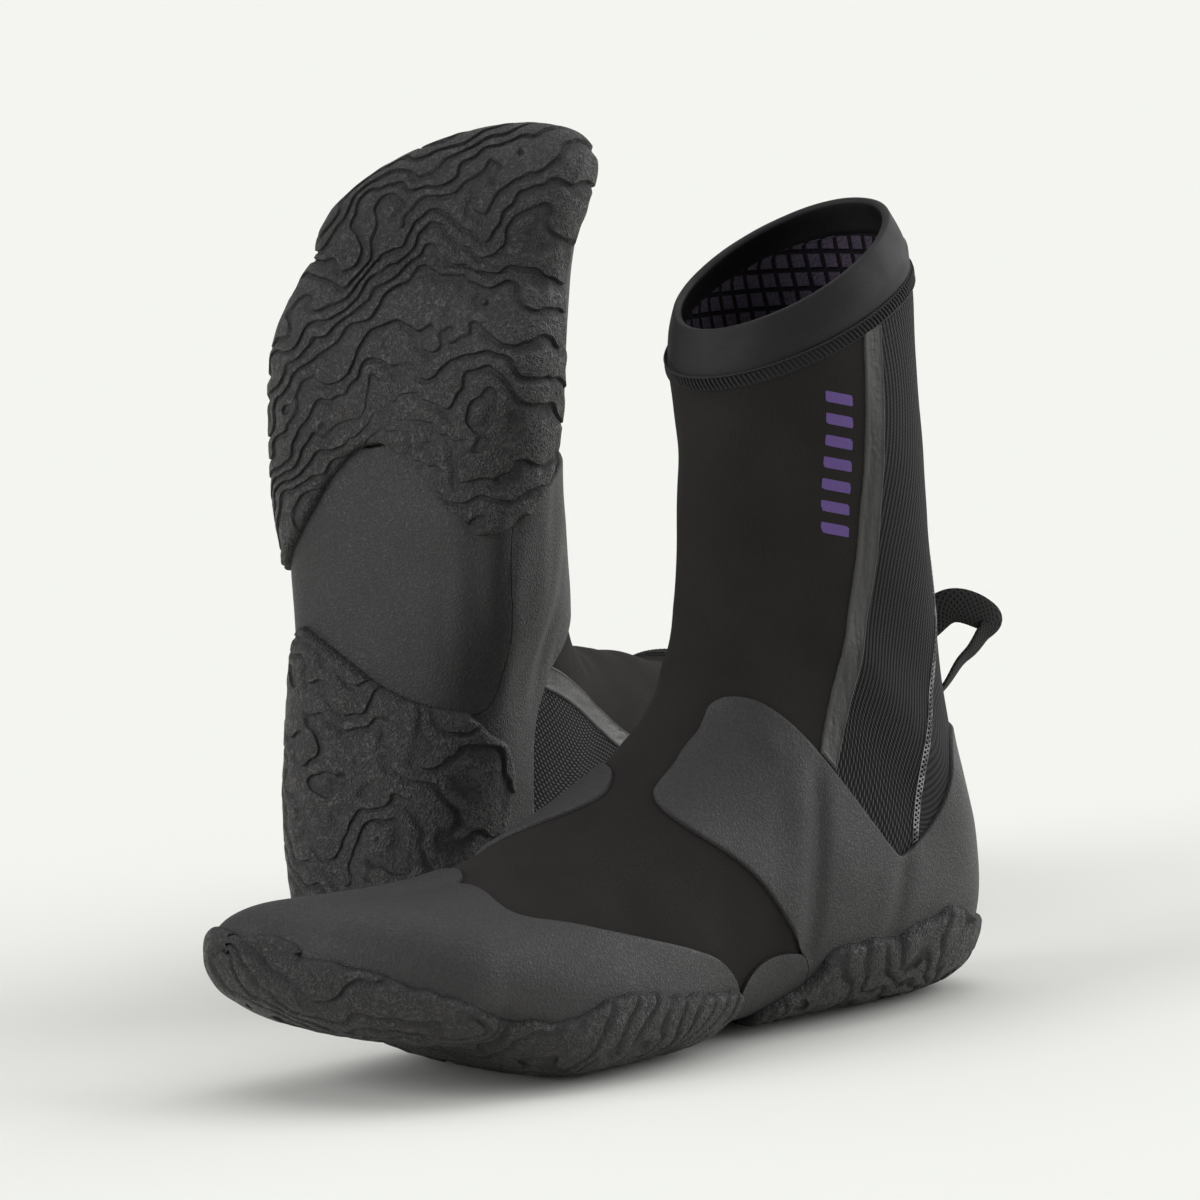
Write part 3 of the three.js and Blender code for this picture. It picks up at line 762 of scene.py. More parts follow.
    def finish(self, colour, roughness=None, normal=None):
        self.wire(colour, self.shader.inputs["Base Color"])
        if roughness is not None:
            self.wire(roughness, self.shader.inputs["Roughness"])
        if normal is not None:
            self.links.new(normal, self.shader.inputs["Normal"])
        return self.material


def paint(red, green, blue):
    """A colour from its 0 to 255 screen values."""
    def linear(value):
        share = value / 255
        return share / 12.92 if share <= 0.04045 else ((share + 0.055) / 1.055) ** 2.4
    return (linear(red), linear(green), linear(blue))


def jersey_neoprene():
    f = Finish("jersey neoprene", 0.92, 0.2)
    ribs = f.wave(f.across, 0.62)
    courses = f.wave(f.along, 0.55)
    fuzz = f.noise(0.5, 3)
    patches = f.noise(28, 3)
    weave = f.times(ribs, f.plus(f.times(courses, 0.35), 0.65))
    height = f.plus(f.times(weave, 0.7), f.times(fuzz, 0.6))
    colour = f.mix(weave, paint(23, 21, 20), paint(41, 38, 37))
    colour = f.mix(f.ramp(fuzz, 0.45, 0.8, 0.0, 0.35), colour, paint(52, 48, 46))
    colour = f.mix(f.ramp(patches, 0.35, 0.7, 0.0, 0.4), colour, paint(43, 39, 37))
    return f.finish(colour, f.ramp(fuzz, 0.2, 0.8, 0.84, 0.96), f.bump(height, 0.16))


def ribbed_mesh():
    f = Finish("ribbed mesh", 0.8, 0.3)
    pitch, stitch = 1.8, 1.7
    column = f.math("DIVIDE", f.across, pitch)
    odd = f.times(f.math("FLOORED_MODULO", f.math("FLOOR", column), 2.0), 0.5)
    fx = f.off_middle(f.fraction(column))
    fy = f.off_middle(f.fraction(f.plus(f.math("DIVIDE", f.along, stitch), odd)))
    knot = f.plus(f.math("POWER", f.times(fx, 2.3), 2.0), f.math("POWER", f.times(fy, 2.2), 2.4))
    height = f.ramp(knot, 0.1, 1.0, 1.0, 0.0)
    fibre = f.noise(0.35, 3)
    colour = f.mix(height, paint(4, 4, 5), paint(55, 55, 58))
    colour = f.mix(f.ramp(fibre, 0.4, 0.8, 0.0, 0.4), colour, paint(16, 16, 18))
    return f.finish(colour, f.ramp(height, 0, 1, 0.95, 0.65), f.bump(height, 0.7))


def twill_knit():
    f = Finish("twill knit", 0.8, 0.3)
    lean = f.plus(f.across, f.times(f.along, 0.8))
    twill = f.wave(lean, 1.5)
    courses = f.wave(f.along, 1.2)
    height = f.times(twill, f.plus(f.times(courses, 0.4), 0.6))
    colour = f.mix(height, paint(13, 13, 14), paint(52, 52, 55))
    return f.finish(colour, 0.85, f.bump(height, 0.35))


def grid_fleece():
    f = Finish("grid fleece", 0.95, 0.15)
    tile = 6.2
    gx, gy = (f.off_middle(f.fraction(f.math("DIVIDE", way, tile))) for way in (f.across, f.up))
    edge = f.math("MAXIMUM", gx, gy)
    square = f.ramp(edge, 0.33, 0.43, 1.0, 0.0)
    fluff = f.noise(0.9, 4)
    height = f.plus(square, f.times(fluff, 0.6))
    colour = f.mix(square, paint(16, 14, 18), paint(74, 66, 80))
    colour = f.mix(f.ramp(fluff, 0.35, 0.75, 0.0, 0.5), colour, paint(34, 31, 38))
    return f.finish(colour, 0.95, f.bump(height, 1.0))


def cuff_neoprene():
    f = Finish("cuff neoprene", 0.55, 0.3)
    grain = f.noise(0.7, 3)
    broad = f.noise(16, 2)
    colour = f.mix(f.ramp(grain, 0.3, 0.7), paint(15, 15, 17), paint(22, 22, 25))
    rough = f.ramp(broad, 0.3, 0.7, 0.5, 0.64)
    return f.finish(colour, rough, f.bump(grain, 0.06))


def dark_thread():
    f = Finish("dark thread", 0.6, 0.35)
    twist = f.wave(f.plus(f.across, f.times(f.along, 1.5)), 0.5)
    fibre = f.noise(0.3, 2)
    colour = f.mix(f.ramp(fibre, 0.3, 0.7), paint(13, 13, 14), paint(34, 34, 36))
    return f.finish(colour, 0.62, f.bump(twist, 0.05))


def light_thread():
    f = Finish("light thread", 0.6, 0.4)
    fibre = f.noise(0.35, 2)
    broad = f.noise(7, 2)
    colour = f.mix(f.ramp(fibre, 0.3, 0.7), paint(120, 120, 122), paint(176, 176, 177))
    colour = f.mix(f.ramp(broad, 0.42, 0.56, 0.0, 0.8), colour, paint(60, 60, 62))
    return f.finish(colour, 0.6, f.bump(fibre, 0.05))


def pebbled_rubber():
    f = Finish("pebbled rubber", 0.6, 0.5)
    pebbles = f.ramp(f.cells(0.8, 0.8), 0.05, 0.62, 1.0, 0.0)
    height = f.plus(f.times(pebbles, 0.5), f.times(f.worms(1.1), 0.5))
    broad = f.noise(34, 3)
    # Painted shade: the colour darkens towards the panel's cut edge, where it rounds down onto the neoprene.
    edge_shade = f.ramp(f.value("edge"), 0.1, 0.85, 1.0, 0.0)
    colour = f.mix(f.ramp(height, 0.1, 0.9), paint(33, 31, 32), paint(42, 40, 40))
    colour = f.mix(f.ramp(broad, 0.3, 0.7, 0.0, 0.3), colour, paint(43, 41, 41))
    colour = f.mix(f.times(edge_shade, 0.7), colour, paint(17, 16, 16))
    rough = f.plus(f.ramp(height, 0.2, 0.9, 0.6, 0.44), f.ramp(broad, 0.3, 0.7, -0.03, 0.05))
    return f.finish(colour, rough, f.bump(height, 0.17))


def outsole_rubber():
    f = Finish("outsole rubber", 0.75, 0.45)
    flow = f.fraction(f.value("terrace"))
    plateau = f.times(f.ramp(flow, 0.0, 0.03), f.ramp(flow, 0.5, 0.8, 1.0, 0.0))
    step = f.math("ADD", f.ramp(flow, 0.935, 0.97), f.ramp(flow, 0.003, 0.015, 1.0, 0.0), clamp=True)
    faint = f.ramp(f.noise(12, 1), 0.36, 0.6)
    crinkle = f.math("MAXIMUM", f.worms(1.9, 0.13, 1.0), f.times(f.worms(3.2, 0.08, 1.2), 0.9))
    fine = f.noise(0.8, 2)
    strength = f.plus(f.times(plateau, 0.65), 0.35)
    grain = f.times(f.plus(crinkle, f.times(fine, 0.5)), strength)
    coarse = f.times(f.noise(6, 2, distortion=1.0), 0.6)
    height = f.plus(grain, coarse)
    # Painted highlight and shade: lighter on the raised crinkles and darker in their hollows.
    colour = f.mix(grain, paint(45, 43, 44), paint(63, 61, 61))
    # Painted shade: dark lines along the tread's abrupt steps, fading out where faint is low.
    colour = f.mix(f.times(f.times(step, faint), 0.8), colour, paint(15, 14, 14))
    # Painted shade: the colour darkens towards the pod's edge, in the crease where it meets the panels.
    edge_shade = f.ramp(f.value("edge"), 0.0, 0.7, 1.0, 0.0)
    colour = f.mix(f.times(edge_shade, 0.5), colour, paint(24, 23, 23))
    colour = f.mix(f.ramp(f.up, 5, 16, 0.0, 0.3), colour, paint(26, 25, 25))
    rough = f.ramp(grain, 0, 1, 0.8, 0.48)
    return f.finish(colour, rough, f.bump(height, 0.7))


def liquid_seam_tape():
    f = Finish("liquid seam tape", 0.4, 0.5)
    streak = f.noise(3, 3, stretch=(1, 1, 0.12))
    blots = f.noise(2.0, 2)
    side = f.math("ABSOLUTE", f.across)
    lip = f.ramp(side, 2.7, 3.7)
    height = f.plus(f.times(streak, 1.0), f.times(blots, 0.7))
    height = f.plus(height, lip)
    colour = f.mix(f.ramp(streak, 0.35, 0.65), paint(26, 25, 25), paint(50, 49, 48))
    # Painted highlight along the raised lip near each side, and painted shade darkening the tape's outer
    # edge.
    colour = f.mix(f.ramp(side, 2.4, 3.3, 0.0, 0.4), colour, paint(72, 71, 70))
    colour = f.mix(f.ramp(side, 3.7, 4.15, 0.0, 0.85), colour, paint(14, 14, 14))
    rough = f.ramp(streak, 0.3, 0.7, 0.4, 0.58)
    return f.finish(colour, rough, f.bump(height, 0.5))


def loop_webbing():
    f = Finish("loop webbing", 0.75, 0.3)
    one = f.wave(f.plus(f.across, f.along), 1.9)
    two = f.wave(f.math("SUBTRACT", f.across, f.along), 1.9)
    weave = f.math("MAXIMUM", f.times(one, 0.9), two)
    fibre = f.noise(0.4, 2)
    colour = f.mix(weave, paint(10, 10, 10), paint(46, 44, 44))
    colour = f.mix(f.ramp(fibre, 0.4, 0.7, 0.0, 0.3), colour, paint(24, 23, 23))
    return f.finish(colour, 0.8, f.bump(weave, 0.4))


def purple_print():
    f = Finish("purple print", 0.6, 0.3)
    wear = f.noise(0.8, 3)
    colour = f.mix(f.ramp(wear, 0.5, 0.75, 0.0, 0.5), paint(92, 70, 128), paint(66, 54, 86))
    return f.finish(colour, 0.65, f.bump(wear, 0.03))


FINISHES = {make.__name__: make() for make in (
    jersey_neoprene, ribbed_mesh, twill_knit, grid_fleece, cuff_neoprene, dark_thread, light_thread,
    pebbled_rubber, outsole_rubber, liquid_seam_tape, loop_webbing, purple_print,
)}

# ---------------------------------------------------------------- neoprene panels


def leg_fields(grid):
    """Where the two mesh panels and the heel cord panel lie on the leg."""
    x, y, z = np.moveaxis(grid["point"], -1, 0)
    outer = np.minimum(inside_of(TAPE_OUTER + MESH_FOOT_OUTER + FLATLOCK[::-1], x, z, 1), y)
    inner = np.minimum(inside_of(TAPE_INNER + MESH_FOOT_INNER + FLATLOCK[::-1], x, z, 1), -y)
    return outer, inner, inside_of(FLATLOCK + HEEL_CORD_EDGE, x, z, 1)


def neoprene_panels():
    """The front panel, two mesh panels and the heel cord panel, each with its own cut edge."""
    grid = skin_grid(PANEL_GRID, last=CUFF_ROW - HAIR)
    outer, inner, cord = leg_fields(grid)
    heel_grid = skin_grid(PANEL_GRID, last=CUFF_ROW - HAIR, middle="bottom")
    heel_cord = leg_fields(heel_grid)[2]
    front = np.minimum(np.minimum(-outer, -inner), -cord)
    for part, where, field, finish in (
        ("front_panel", grid, front, "jersey_neoprene"),
        ("mesh_panel_outer", grid, outer, "ribbed_mesh"),
        ("mesh_panel_inner", grid, inner, "ribbed_mesh"),
        ("heel_cord_panel", heel_grid, heel_cord, "twill_knit"),
    ):
        mesh = flatten(dict(where, phi=on_surface(field, where) - 0.1))
        add_level(mesh, "phi", 0.7)
        keep_inside(mesh, "phi")
        edge = mesh["phi"][:, 0]
        top = -SEAM_GROOVE * (1 - rounded(edge, 0.7))
        shell_on_boots(part, mesh, top, np.full(len(edge), -NEOPRENE), finish)


def lining():
    """The bonded lining, a little inside the neoprene and up into the cuff."""
    grid = skin_grid(LINING_GRID, last=LINING_ROW)
    mesh = flatten(dict(grid, phi=np.ones(grid["row"].shape)))
    size = len(mesh["point"])
    shell_on_boots("lining", mesh, np.full(size, LINING_TOP), np.full(size, LINING_UNDER), "grid_fleece")


# ---------------------------------------------------------------- rubber panels


def rubber_panels():
    """The toe cap, the arch panel and the heel wrap, moulded over the neoprene."""
    grid = skin_grid(RUBBER_GRID, last=10.0, middle="bottom")
    for part, field in (
        ("toe_cap", both_sides(TOE_CAP_OUTER, TOE_CAP_INNER, grid)),
        ("arch_panel", both_sides(ARCH_OUTER, ARCH_INNER, grid)),
        ("heel_wrap", heel_wrap_field(grid)),
    ):
        mesh = flatten(dict(grid, phi=on_surface(field, grid) - 0.15))
        for level in (0.3, 0.9):
            add_level(mesh, "phi", level)
        keep_inside(mesh, "phi")
        x, z = mesh["point"][:, 0], mesh["point"][:, 2]
        butted = ease(x, 74, 80) * ease(-x, -172, -166) * ease(-z, -36, -30)
        mesh["phi"][:, 0] += 0.8 * butted  # these edges meet and keep their full thickness
        top = PANEL_UNDER + (PANEL_TOP - PANEL_UNDER) * rounded(mesh["phi"][:, 0], 0.9)
        shell_on_boots(part, mesh, top, np.full(len(top), PANEL_UNDER), "pebbled_rubber")


# ---------------------------------------------------------------- outsole


def forefoot_flow(points, across, side):
    """Rises by one at each step of the forefoot tread, more evenly up the side wall."""
    x = points[..., 0]
    outer = (x - 205 + 0.8 * across) / 9.6
    inner = (x - 205) / 12
    flow = inner + (outer - inner) * ease(across, -16, 14)
    warp = 2.0 * noise_at(points, 24, 11) + 0.9 * noise_at(points, 10, 12)
    return flow + (warp + 0.25 * noise_at(points, 4.5, 15)) * (1 - 0.6 * side)


def heel_flow(points, across, side):
    """Rises by one at each step of the heel tread, over larger plateaus."""
    x = points[..., 0]
    flow = (x - 0.35 * across) / 15
    warp = 2.2 * noise_at(points, 23, 13) + 0.9 * noise_at(points, 10, 14)
    return flow + (warp + 0.2 * noise_at(points, 4.5, 16)) * (1 - 0.6 * side)


STEP_SHARE = 0.055                     # how much of each terrace its abrupt step takes


def tread_height(flow, side):
    """1 on a plateau, falling smoothly into a valley that ends at the next abrupt step."""
    share = flow - np.floor(flow + 1e-6)
    fall = 1 - ease(share - 0.16 * side, 0.5, 0.77)
    return np.where(share > 1 - STEP_SHARE, (share - 1 + STEP_SHARE) / STEP_SHARE, fall)


def side_wall(normals):
    """0 under the sole and 1 on its side wall."""
    return ease(normals[..., 2], -0.8, -0.3)


def outsole(part, flow_of, top_outer, top_inner, plan, first, last):
    """One pod: a terraced outer face over an inner face that follows the rubber panels."""
    rows = row_spacing(SOLE_GRID[0], first, last, SOLE_DROP)
    grid = skin_grid(SOLE_GRID, middle="bottom", drop=SOLE_DROP, rows=rows)
    plain = skin_grid(SOLE_GRID, middle="bottom", rows=rows, columns=grid["point"].shape[1] // 2)
    points = grid["point"]
    across = grid["cloth"][..., 0]
    ripple = 1.7 * noise_at(points, 7, 21) + 1.4 * noise_at(points, 16, 22)
    ripple = ripple * (0.15 + 0.85 * ease(points[..., 2], 10, 20))
    field = on_surface(pod_field(top_outer, top_inner, plan, grid), grid) + ripple
    grid.update(phi=field, flow=flow_of(points, across, side_wall(grid["normal"])))
    mesh = flatten(grid)
    inner_face = plain["point"] + plain["normal"] * SOLE_UNDER
    mesh["inner_face"] = inner_face.reshape(-1, 3)
    mesh["faces"] = mesh["faces"][mesh["phi"][mesh["faces"], 0].max(1) > -1]
    keep_inside(mesh, "phi")
    low, high = mesh["flow"].min(), mesh["flow"].max()
    for step in range(int(low), int(high) + 2):
        add_level(mesh, "flow", step - STEP_SHARE)
        add_level(mesh, "flow", step + 1e-4)
    for level in (0.5, 1.6):
        add_level(mesh, "phi", level)
    edge = mesh["phi"][:, 0]
    side = side_wall(mesh["normal"])
    crumple = noise_at(mesh["point"], 5.0, 23) * (0.5 - 0.1 * side)
    tread = tread_height(mesh["flow"][:, 0], side) - 1.0
    full = SOLE_TOP + tread * TREAD_DEPTH * (1 + 0.15 * side) + crumple * 0.7
    outer_face = mesh["point"] + mesh["normal"] * full[:, None]
    share = rounded(edge, 2.4)[:, None]
    top = mesh["inner_face"] + (outer_face - mesh["inner_face"]) * share
    top[:, 2] = np.maximum(top[:, 2], 0.02)
    shell_on_boots(part, mesh, top, mesh["inner_face"], "outsole_rubber", {"terrace": mesh["flow"][:, 0]})


# ---------------------------------------------------------------- tapes, prints and stitches


def on_skin(grid, places, outer):
    """Points and normals of the skin at side-view places on one side of the foot."""
    points = grid["point"]
    side = points[..., 1] > 0 if outer else points[..., 1] < 0
    usable = side.copy()
    usable[:2] = usable[-2:] = usable[:, :2] = usable[:, -2:] = False
    rows, columns = np.nonzero(usable)
    candidates = points[rows, columns][:, [0, 2]]
    found, normals = [], []
    for place in places:
        nearest = ((candidates - place) ** 2).sum(1).argmin()
        i, j = rows[nearest], columns[nearest]
        pu, pv = (points[i, j + 1] - points[i, j - 1]) / 2, (points[i + 1, j] - points[i - 1, j]) / 2
        matrix = np.array([[pu[0], pv[0]], [pu[2], pv[2]]])
        move = np.linalg.solve(matrix, place - points[i, j][[0, 2]]).clip(-1.5, 1.5)
        found.append(points[i, j] + pu * move[0] + pv * move[1])
        normals.append(grid["normal"][i, j])
    return np.array(found), np.array(normals)


def even_line(line, pitch):
    """A smoothed line read at even steps."""
    fine = smoothed(line, 3, closed=False)
    lengths = lengths_along(fine)
    at = np.linspace(0, lengths[-1], max(int(lengths[-1] / pitch), 2))
    return np.stack([np.interp(at, lengths, fine[:, 0]), np.interp(at, lengths, fine[:, 1])], axis=1)


def seam_tapes():
    """Strips of liquid rubber along the front edges of the mesh panels."""
    grid = skin_grid(TAPE_GRID, first=3.0, last=UNDER_CUFF_SEAM)
    x, y, z = np.moveaxis(grid["point"], -1, 0)
    wrap = heel_wrap_field(grid)
    tapes = (("seam_tape_outer", TAPE_OUTER, True), ("seam_tape_inner", TAPE_INNER, False))
    for part, line, outer in tapes:
        distance, _ = distance_to(smoothed(line, 3, closed=False), x, z, False)
        distance = np.abs(on_surface(distance + 1e-6, grid))
        on_side = y > 0 if outer else y < 0
        ahead = inside_of(line + [(200, line[-1][1]), (200, 262)], x, z, 1) > 0
        across = np.where(ahead, distance, -distance)
        field = np.where(on_side, np.minimum(TAPE_WIDTH / 2 - distance, -wrap - 0.1), -9.0)
        cloth = np.stack([across, grid["cloth"][..., 1]], axis=-1)
        mesh = flatten(dict(grid, cloth=cloth, phi=field))
        mesh["faces"] = mesh["faces"][mesh["phi"][mesh["faces"], 0].max(1) > -1.5]
        for level in (0.35, 1.1):
            add_level(mesh, "phi", level)
        keep_inside(mesh, "phi")
        edge = mesh["phi"][:, 0]
        crown = 0.25 * np.exp(-((edge - 1.0) / 0.5) ** 2)
        top = 0.04 + (TAPE_TOP - 0.04) * rounded(edge, 1.1) + crown
        shell_on_boots(part, mesh, top, np.full(len(edge), 0.02), "liquid_seam_tape")


def stitch_tree():
    """Bent threads on points; each point carries a normal and the way its thread runs."""
    tree = bpy.data.node_groups.new("thread row", "GeometryNodeTree")
    tree.is_modifier = True
    tree.interface.new_socket("Geometry", in_out="INPUT", socket_type="NodeSocketGeometry")
    for name in ("Length", "Thread Radius", "Rise"):
        tree.interface.new_socket(name, in_out="INPUT", socket_type="NodeSocketFloat")
    tree.interface.new_socket("Material", in_out="INPUT", socket_type="NodeSocketMaterial")
    tree.interface.new_socket("Geometry", in_out="OUTPUT", socket_type="NodeSocketGeometry")
    add, link = tree.nodes.new, tree.links.new
    entry, leave = add("NodeGroupInput"), add("NodeGroupOutput")

    def half(sign):
        node = add("ShaderNodeMath")
        node.operation = "MULTIPLY"
        link(entry.outputs["Length"], node.inputs[0])
        node.inputs[1].default_value = sign / 2
        corner = add("ShaderNodeCombineXYZ")
        link(node.outputs[0], corner.inputs["X"])
        return corner.outputs[0]

    peak = add("ShaderNodeCombineXYZ")
    link(entry.outputs["Rise"], peak.inputs["Z"])
    bend = add("GeometryNodeCurveQuadraticBezier")
    bend.inputs["Resolution"].default_value = 4
    link(half(-1), bend.inputs["Start"])
    link(peak.outputs[0], bend.inputs["Middle"])
    link(half(1), bend.inputs["End"])
    round_thread = add("GeometryNodeCurvePrimitiveCircle")
    round_thread.inputs["Resolution"].default_value = 6
    link(entry.outputs["Thread Radius"], round_thread.inputs["Radius"])
    thread = add("GeometryNodeCurveToMesh")
    link(bend.outputs["Curve"], thread.inputs["Curve"])
    link(round_thread.outputs["Curve"], thread.inputs["Profile Curve"])
    thread.inputs["Fill Caps"].default_value = True
    turn = None
    for axis, name in (("Z", "normal"), ("X", "way")):
        attribute = add("GeometryNodeInputNamedAttribute")
        attribute.data_type = "FLOAT_VECTOR"
        attribute.inputs["Name"].default_value = name
        align = add("FunctionNodeAlignRotationToVector")
        align.axis = axis
        if turn is not None:
            align.pivot_axis = "Z"
            link(turn, align.inputs["Rotation"])
        link(attribute.outputs["Attribute"], align.inputs["Vector"])
        turn = align.outputs["Rotation"]
    scatter = add("GeometryNodeInstanceOnPoints")
    link(entry.outputs["Geometry"], scatter.inputs["Points"])
    link(thread.outputs["Mesh"], scatter.inputs["Instance"])
    link(turn, scatter.inputs["Rotation"])
    real = add("GeometryNodeRealizeInstances")
    link(scatter.outputs["Instances"], real.inputs["Geometry"])
    smooth = add("GeometryNodeSetShadeSmooth")
    link(real.outputs["Geometry"], smooth.inputs["Geometry"])
    painted = add("GeometryNodeSetMaterial")
    link(smooth.outputs["Geometry"], painted.inputs["Geometry"])
    link(entry.outputs["Material"], painted.inputs["Material"])
    link(painted.outputs["Geometry"], leave.inputs["Geometry"])
    return tree


STITCH_TREE = stitch_tree()


def threads(points, normals, ways, length, radius, rise, material):
    """Vertices and triangles of one row of stitches, in own millimetres."""
    mesh = bpy.data.meshes.new("stitch points")
    mesh.from_pydata(points.tolist(), [], [])
    for name, rows in (("normal", normals), ("way", ways)):
        attribute = mesh.attributes.new(name, "FLOAT_VECTOR", "POINT")
        attribute.data.foreach_set("vector", rows.astype(np.float32).ravel())
    holder = bpy.data.objects.new("stitch points", mesh)
    bpy.context.scene.collection.objects.link(holder)
    modifier = holder.modifiers.new("threads", "NODES")
    modifier.node_group = STITCH_TREE
    sizes = {"Length": length, "Thread Radius": radius, "Rise": rise, "Material": material}
    for item in STITCH_TREE.interface.items_tree:
        if item.in_out == "INPUT" and item.name in sizes:
            modifier[item.identifier] = sizes[item.name]
    evaluated = holder.evaluated_get(bpy.context.evaluated_depsgraph_get())
    made = bpy.data.meshes.new_from_object(evaluated)
    made.calc_loop_triangles()
    vertices = np.empty(len(made.vertices) * 3, np.float32)
    made.vertices.foreach_get("co", vertices)
    faces = np.empty(len(made.loop_triangles) * 3, np.int32)
    made.loop_triangles.foreach_get("vertices", faces)
    bpy.data.objects.remove(holder)
    bpy.data.meshes.remove(made)
    bpy.data.meshes.remove(mesh)
    return vertices.reshape(-1, 3).astype(float), faces.reshape(-1, 3)


def joined(rows):
    """Several vertex and face lists as one."""
    start, points, faces = 0, [], []
    for vertices, triangles in rows:
        points.append(vertices)
        faces.append(triangles + start)
        start += len(vertices)
    return np.concatenate(points), np.concatenate(faces)


def along_line(points, normals):
    """Unit directions along a row of points, and across it on the surface."""
    along = np.gradient(points, axis=0)
    along /= np.linalg.norm(along, axis=1, keepdims=True)
    across = np.cross(normals, along)
    across /= np.linalg.norm(across, axis=1, keepdims=True)
    return along, across


def cuff_stitching():
    """An overlock seam: slanted threads over a narrow band, with loops along its lower edge."""
    grid = skin_grid(SEAM_GRID, first=CUFF_ROW - 0.6, last=CUFF_ROW + 0.45, middle="bottom")
    points = grid["point"]
    centre = skin_points(np.array([CUFF_ROW]), np.array([1e-6, math.pi]))[0]
    slope = centre[1] - centre[0]
    up = np.array([-slope[2], 0, slope[0]]) / np.linalg.norm(slope)
    rise = (points - centre[0]) @ up
    scallop = 0.25 * np.sin(grid["cloth"][..., 0] / 1.7 * 2 * math.pi) * (rise < 0)
    mesh = flatten(dict(grid, phi=CUFF_BAND / 2 - np.abs(rise) + scallop))
    add_level(mesh, "phi", 0.5)
    keep_inside(mesh, "phi")
    edge = mesh["phi"][:, 0]
    top = 0.05 + 0.35 * rounded(edge, 0.5)
    under = np.full(len(edge), 0.02)
    shell_on_boots("cuff_seam_band", mesh, top, under, "dark_thread", node="cuff_stitching")

    near_seam = CUFF_ROW + np.array([-0.02, 0, 0.02])
    ring = skin_grid((1, 0.6), middle="bottom", rows=near_seam)
    line, normals = ring["point"][1], ring["normal"][1]
    lengths = lengths_along(line)
    count = int(lengths[-1] / STITCH_PITCH)

    def read(at, values):
        return np.stack([np.interp(at, lengths, values[:, k]) for k in range(3)], axis=1)

    at = np.arange(count) / count * lengths[-1]
    place, facing = read(at, line), read(at, normals)
    along = read((at + 0.5) % lengths[-1], line) - read((at - 0.5) % lengths[-1], line)
    along /= np.linalg.norm(along, axis=1, keepdims=True)
    material = FINISHES["dark_thread"]
    slanted = up + 0.45 * along
    rows = [threads(place + facing * 0.4, facing, slanted, CUFF_BAND * 1.02, 0.42, 0.9, material)]
    for height, length in ((-CUFF_BAND / 2, 1.9), (CUFF_BAND / 2, 1.7)):
        edge_place = place + facing * 0.3 + up * height
        rows.append(threads(edge_place, facing, along + 0.15 * up, length, 0.34, 0.5, material))
    points, faces = joined(rows)
    put_on_boots("cuff_stitching", (points, faces), points[:, [0, 2]], {}, "dark_thread")


def flatlock_seams():
    """Light crossing threads over the seams beside the heel cord panel."""
    grid = skin_grid(FLATLOCK_GRID, first=5.0, last=UNDER_CUFF_SEAM)
    for part, outer in (("flatlock_outer", True), ("flatlock_inner", False)):
        places = even_line([(x, z) for x, z in FLATLOCK if z < 250], 0.8)
        points, normals = on_skin(grid, places, outer)
        x, z = points[:, 0], points[:, 2]
        covered = inside_of(HEEL_WRAP_OUTER if outer else HEEL_WRAP_INNER, x, z) > -0.3
        back_end, front_end = skin_points(np.array([CUFF_ROW]), np.array([1e-6, math.pi]))[0]
        slope = (front_end[2] - back_end[2]) / (front_end[0] - back_end[0])
        kept = ~covered & (z < back_end[2] + (x - back_end[0]) * slope - 3.2)
        points, normals = points[kept], normals[kept]
        along, across = along_line(points, normals)
        material = FINISHES["light_thread"]
        rows = []
        for start, lean in ((0, 1), (1, -1)):
            pick = slice(start, None, 2)
            way = across[pick] + lean * 0.6 * along[pick]
            place = points[pick] + normals[pick] * 0.12
            rows.append(threads(place, normals[pick], way, FLATLOCK_WIDTH, 0.2, 0.5, material))
        for side in (-1, 1):
            place = points[::2] + across[::2] * side * FLATLOCK_WIDTH * 0.42 + normals[::2] * 0.1
            rows.append(threads(place, normals[::2], along[::2], 1.9, 0.17, 0.3, material))
        vertices, faces = joined(rows)
        put_on_boots(part, (vertices, faces), vertices[:, [0, 2]], {}, "light_thread")


def shin_mark():
    """A plain upright row of slanted purple bars beside the tape."""
    grid = skin_grid(PRINT_GRID, first=9.5, last=CUFF_ROW - 0.1)
    x, y, z = np.moveaxis(grid["point"], -1, 0)
    field = np.full(x.shape, -9.0)
    for k in range(BAR_COUNT):
        base = BARS_FOOT + BAR_PITCH * k
        bar = [
            (BAR_BACK, base), (BAR_FRONT, base + BAR_LEAN),
            (BAR_FRONT, base + BAR_LEAN + BAR_HEIGHT), (BAR_BACK, base + BAR_HEIGHT),
        ]
        field = np.maximum(field, inside_of(bar, x, z, 0))
    mesh = flatten(dict(grid, phi=np.where(y > 0, field, -9.0)))
    mesh["faces"] = mesh["faces"][mesh["phi"][mesh["faces"], 0].max(1) > -1.5]
    keep_inside(mesh, "phi")
    upper = mesh["point"] + mesh["normal"] * PRINT_TOP
    lower = mesh["point"] + mesh["normal"] * PRINT_UNDER
    points, faces, sources = closed_shell(mesh, upper, lower)
    cloth = mesh["cloth"][sources]
    for foot in ("left", "right"):
        order = faces if foot == "left" else faces[:, ::-1]
        placed = points @ TURNS[foot].T * MM + SHIFTS[foot]
        piece = make_piece(f"{foot}_shin_bars", placed, order, cloth[order], {"own": points},
                           FINISHES["purple_print"])
        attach(piece, f"{foot}_boot")


# ---------------------------------------------------------------- cuff


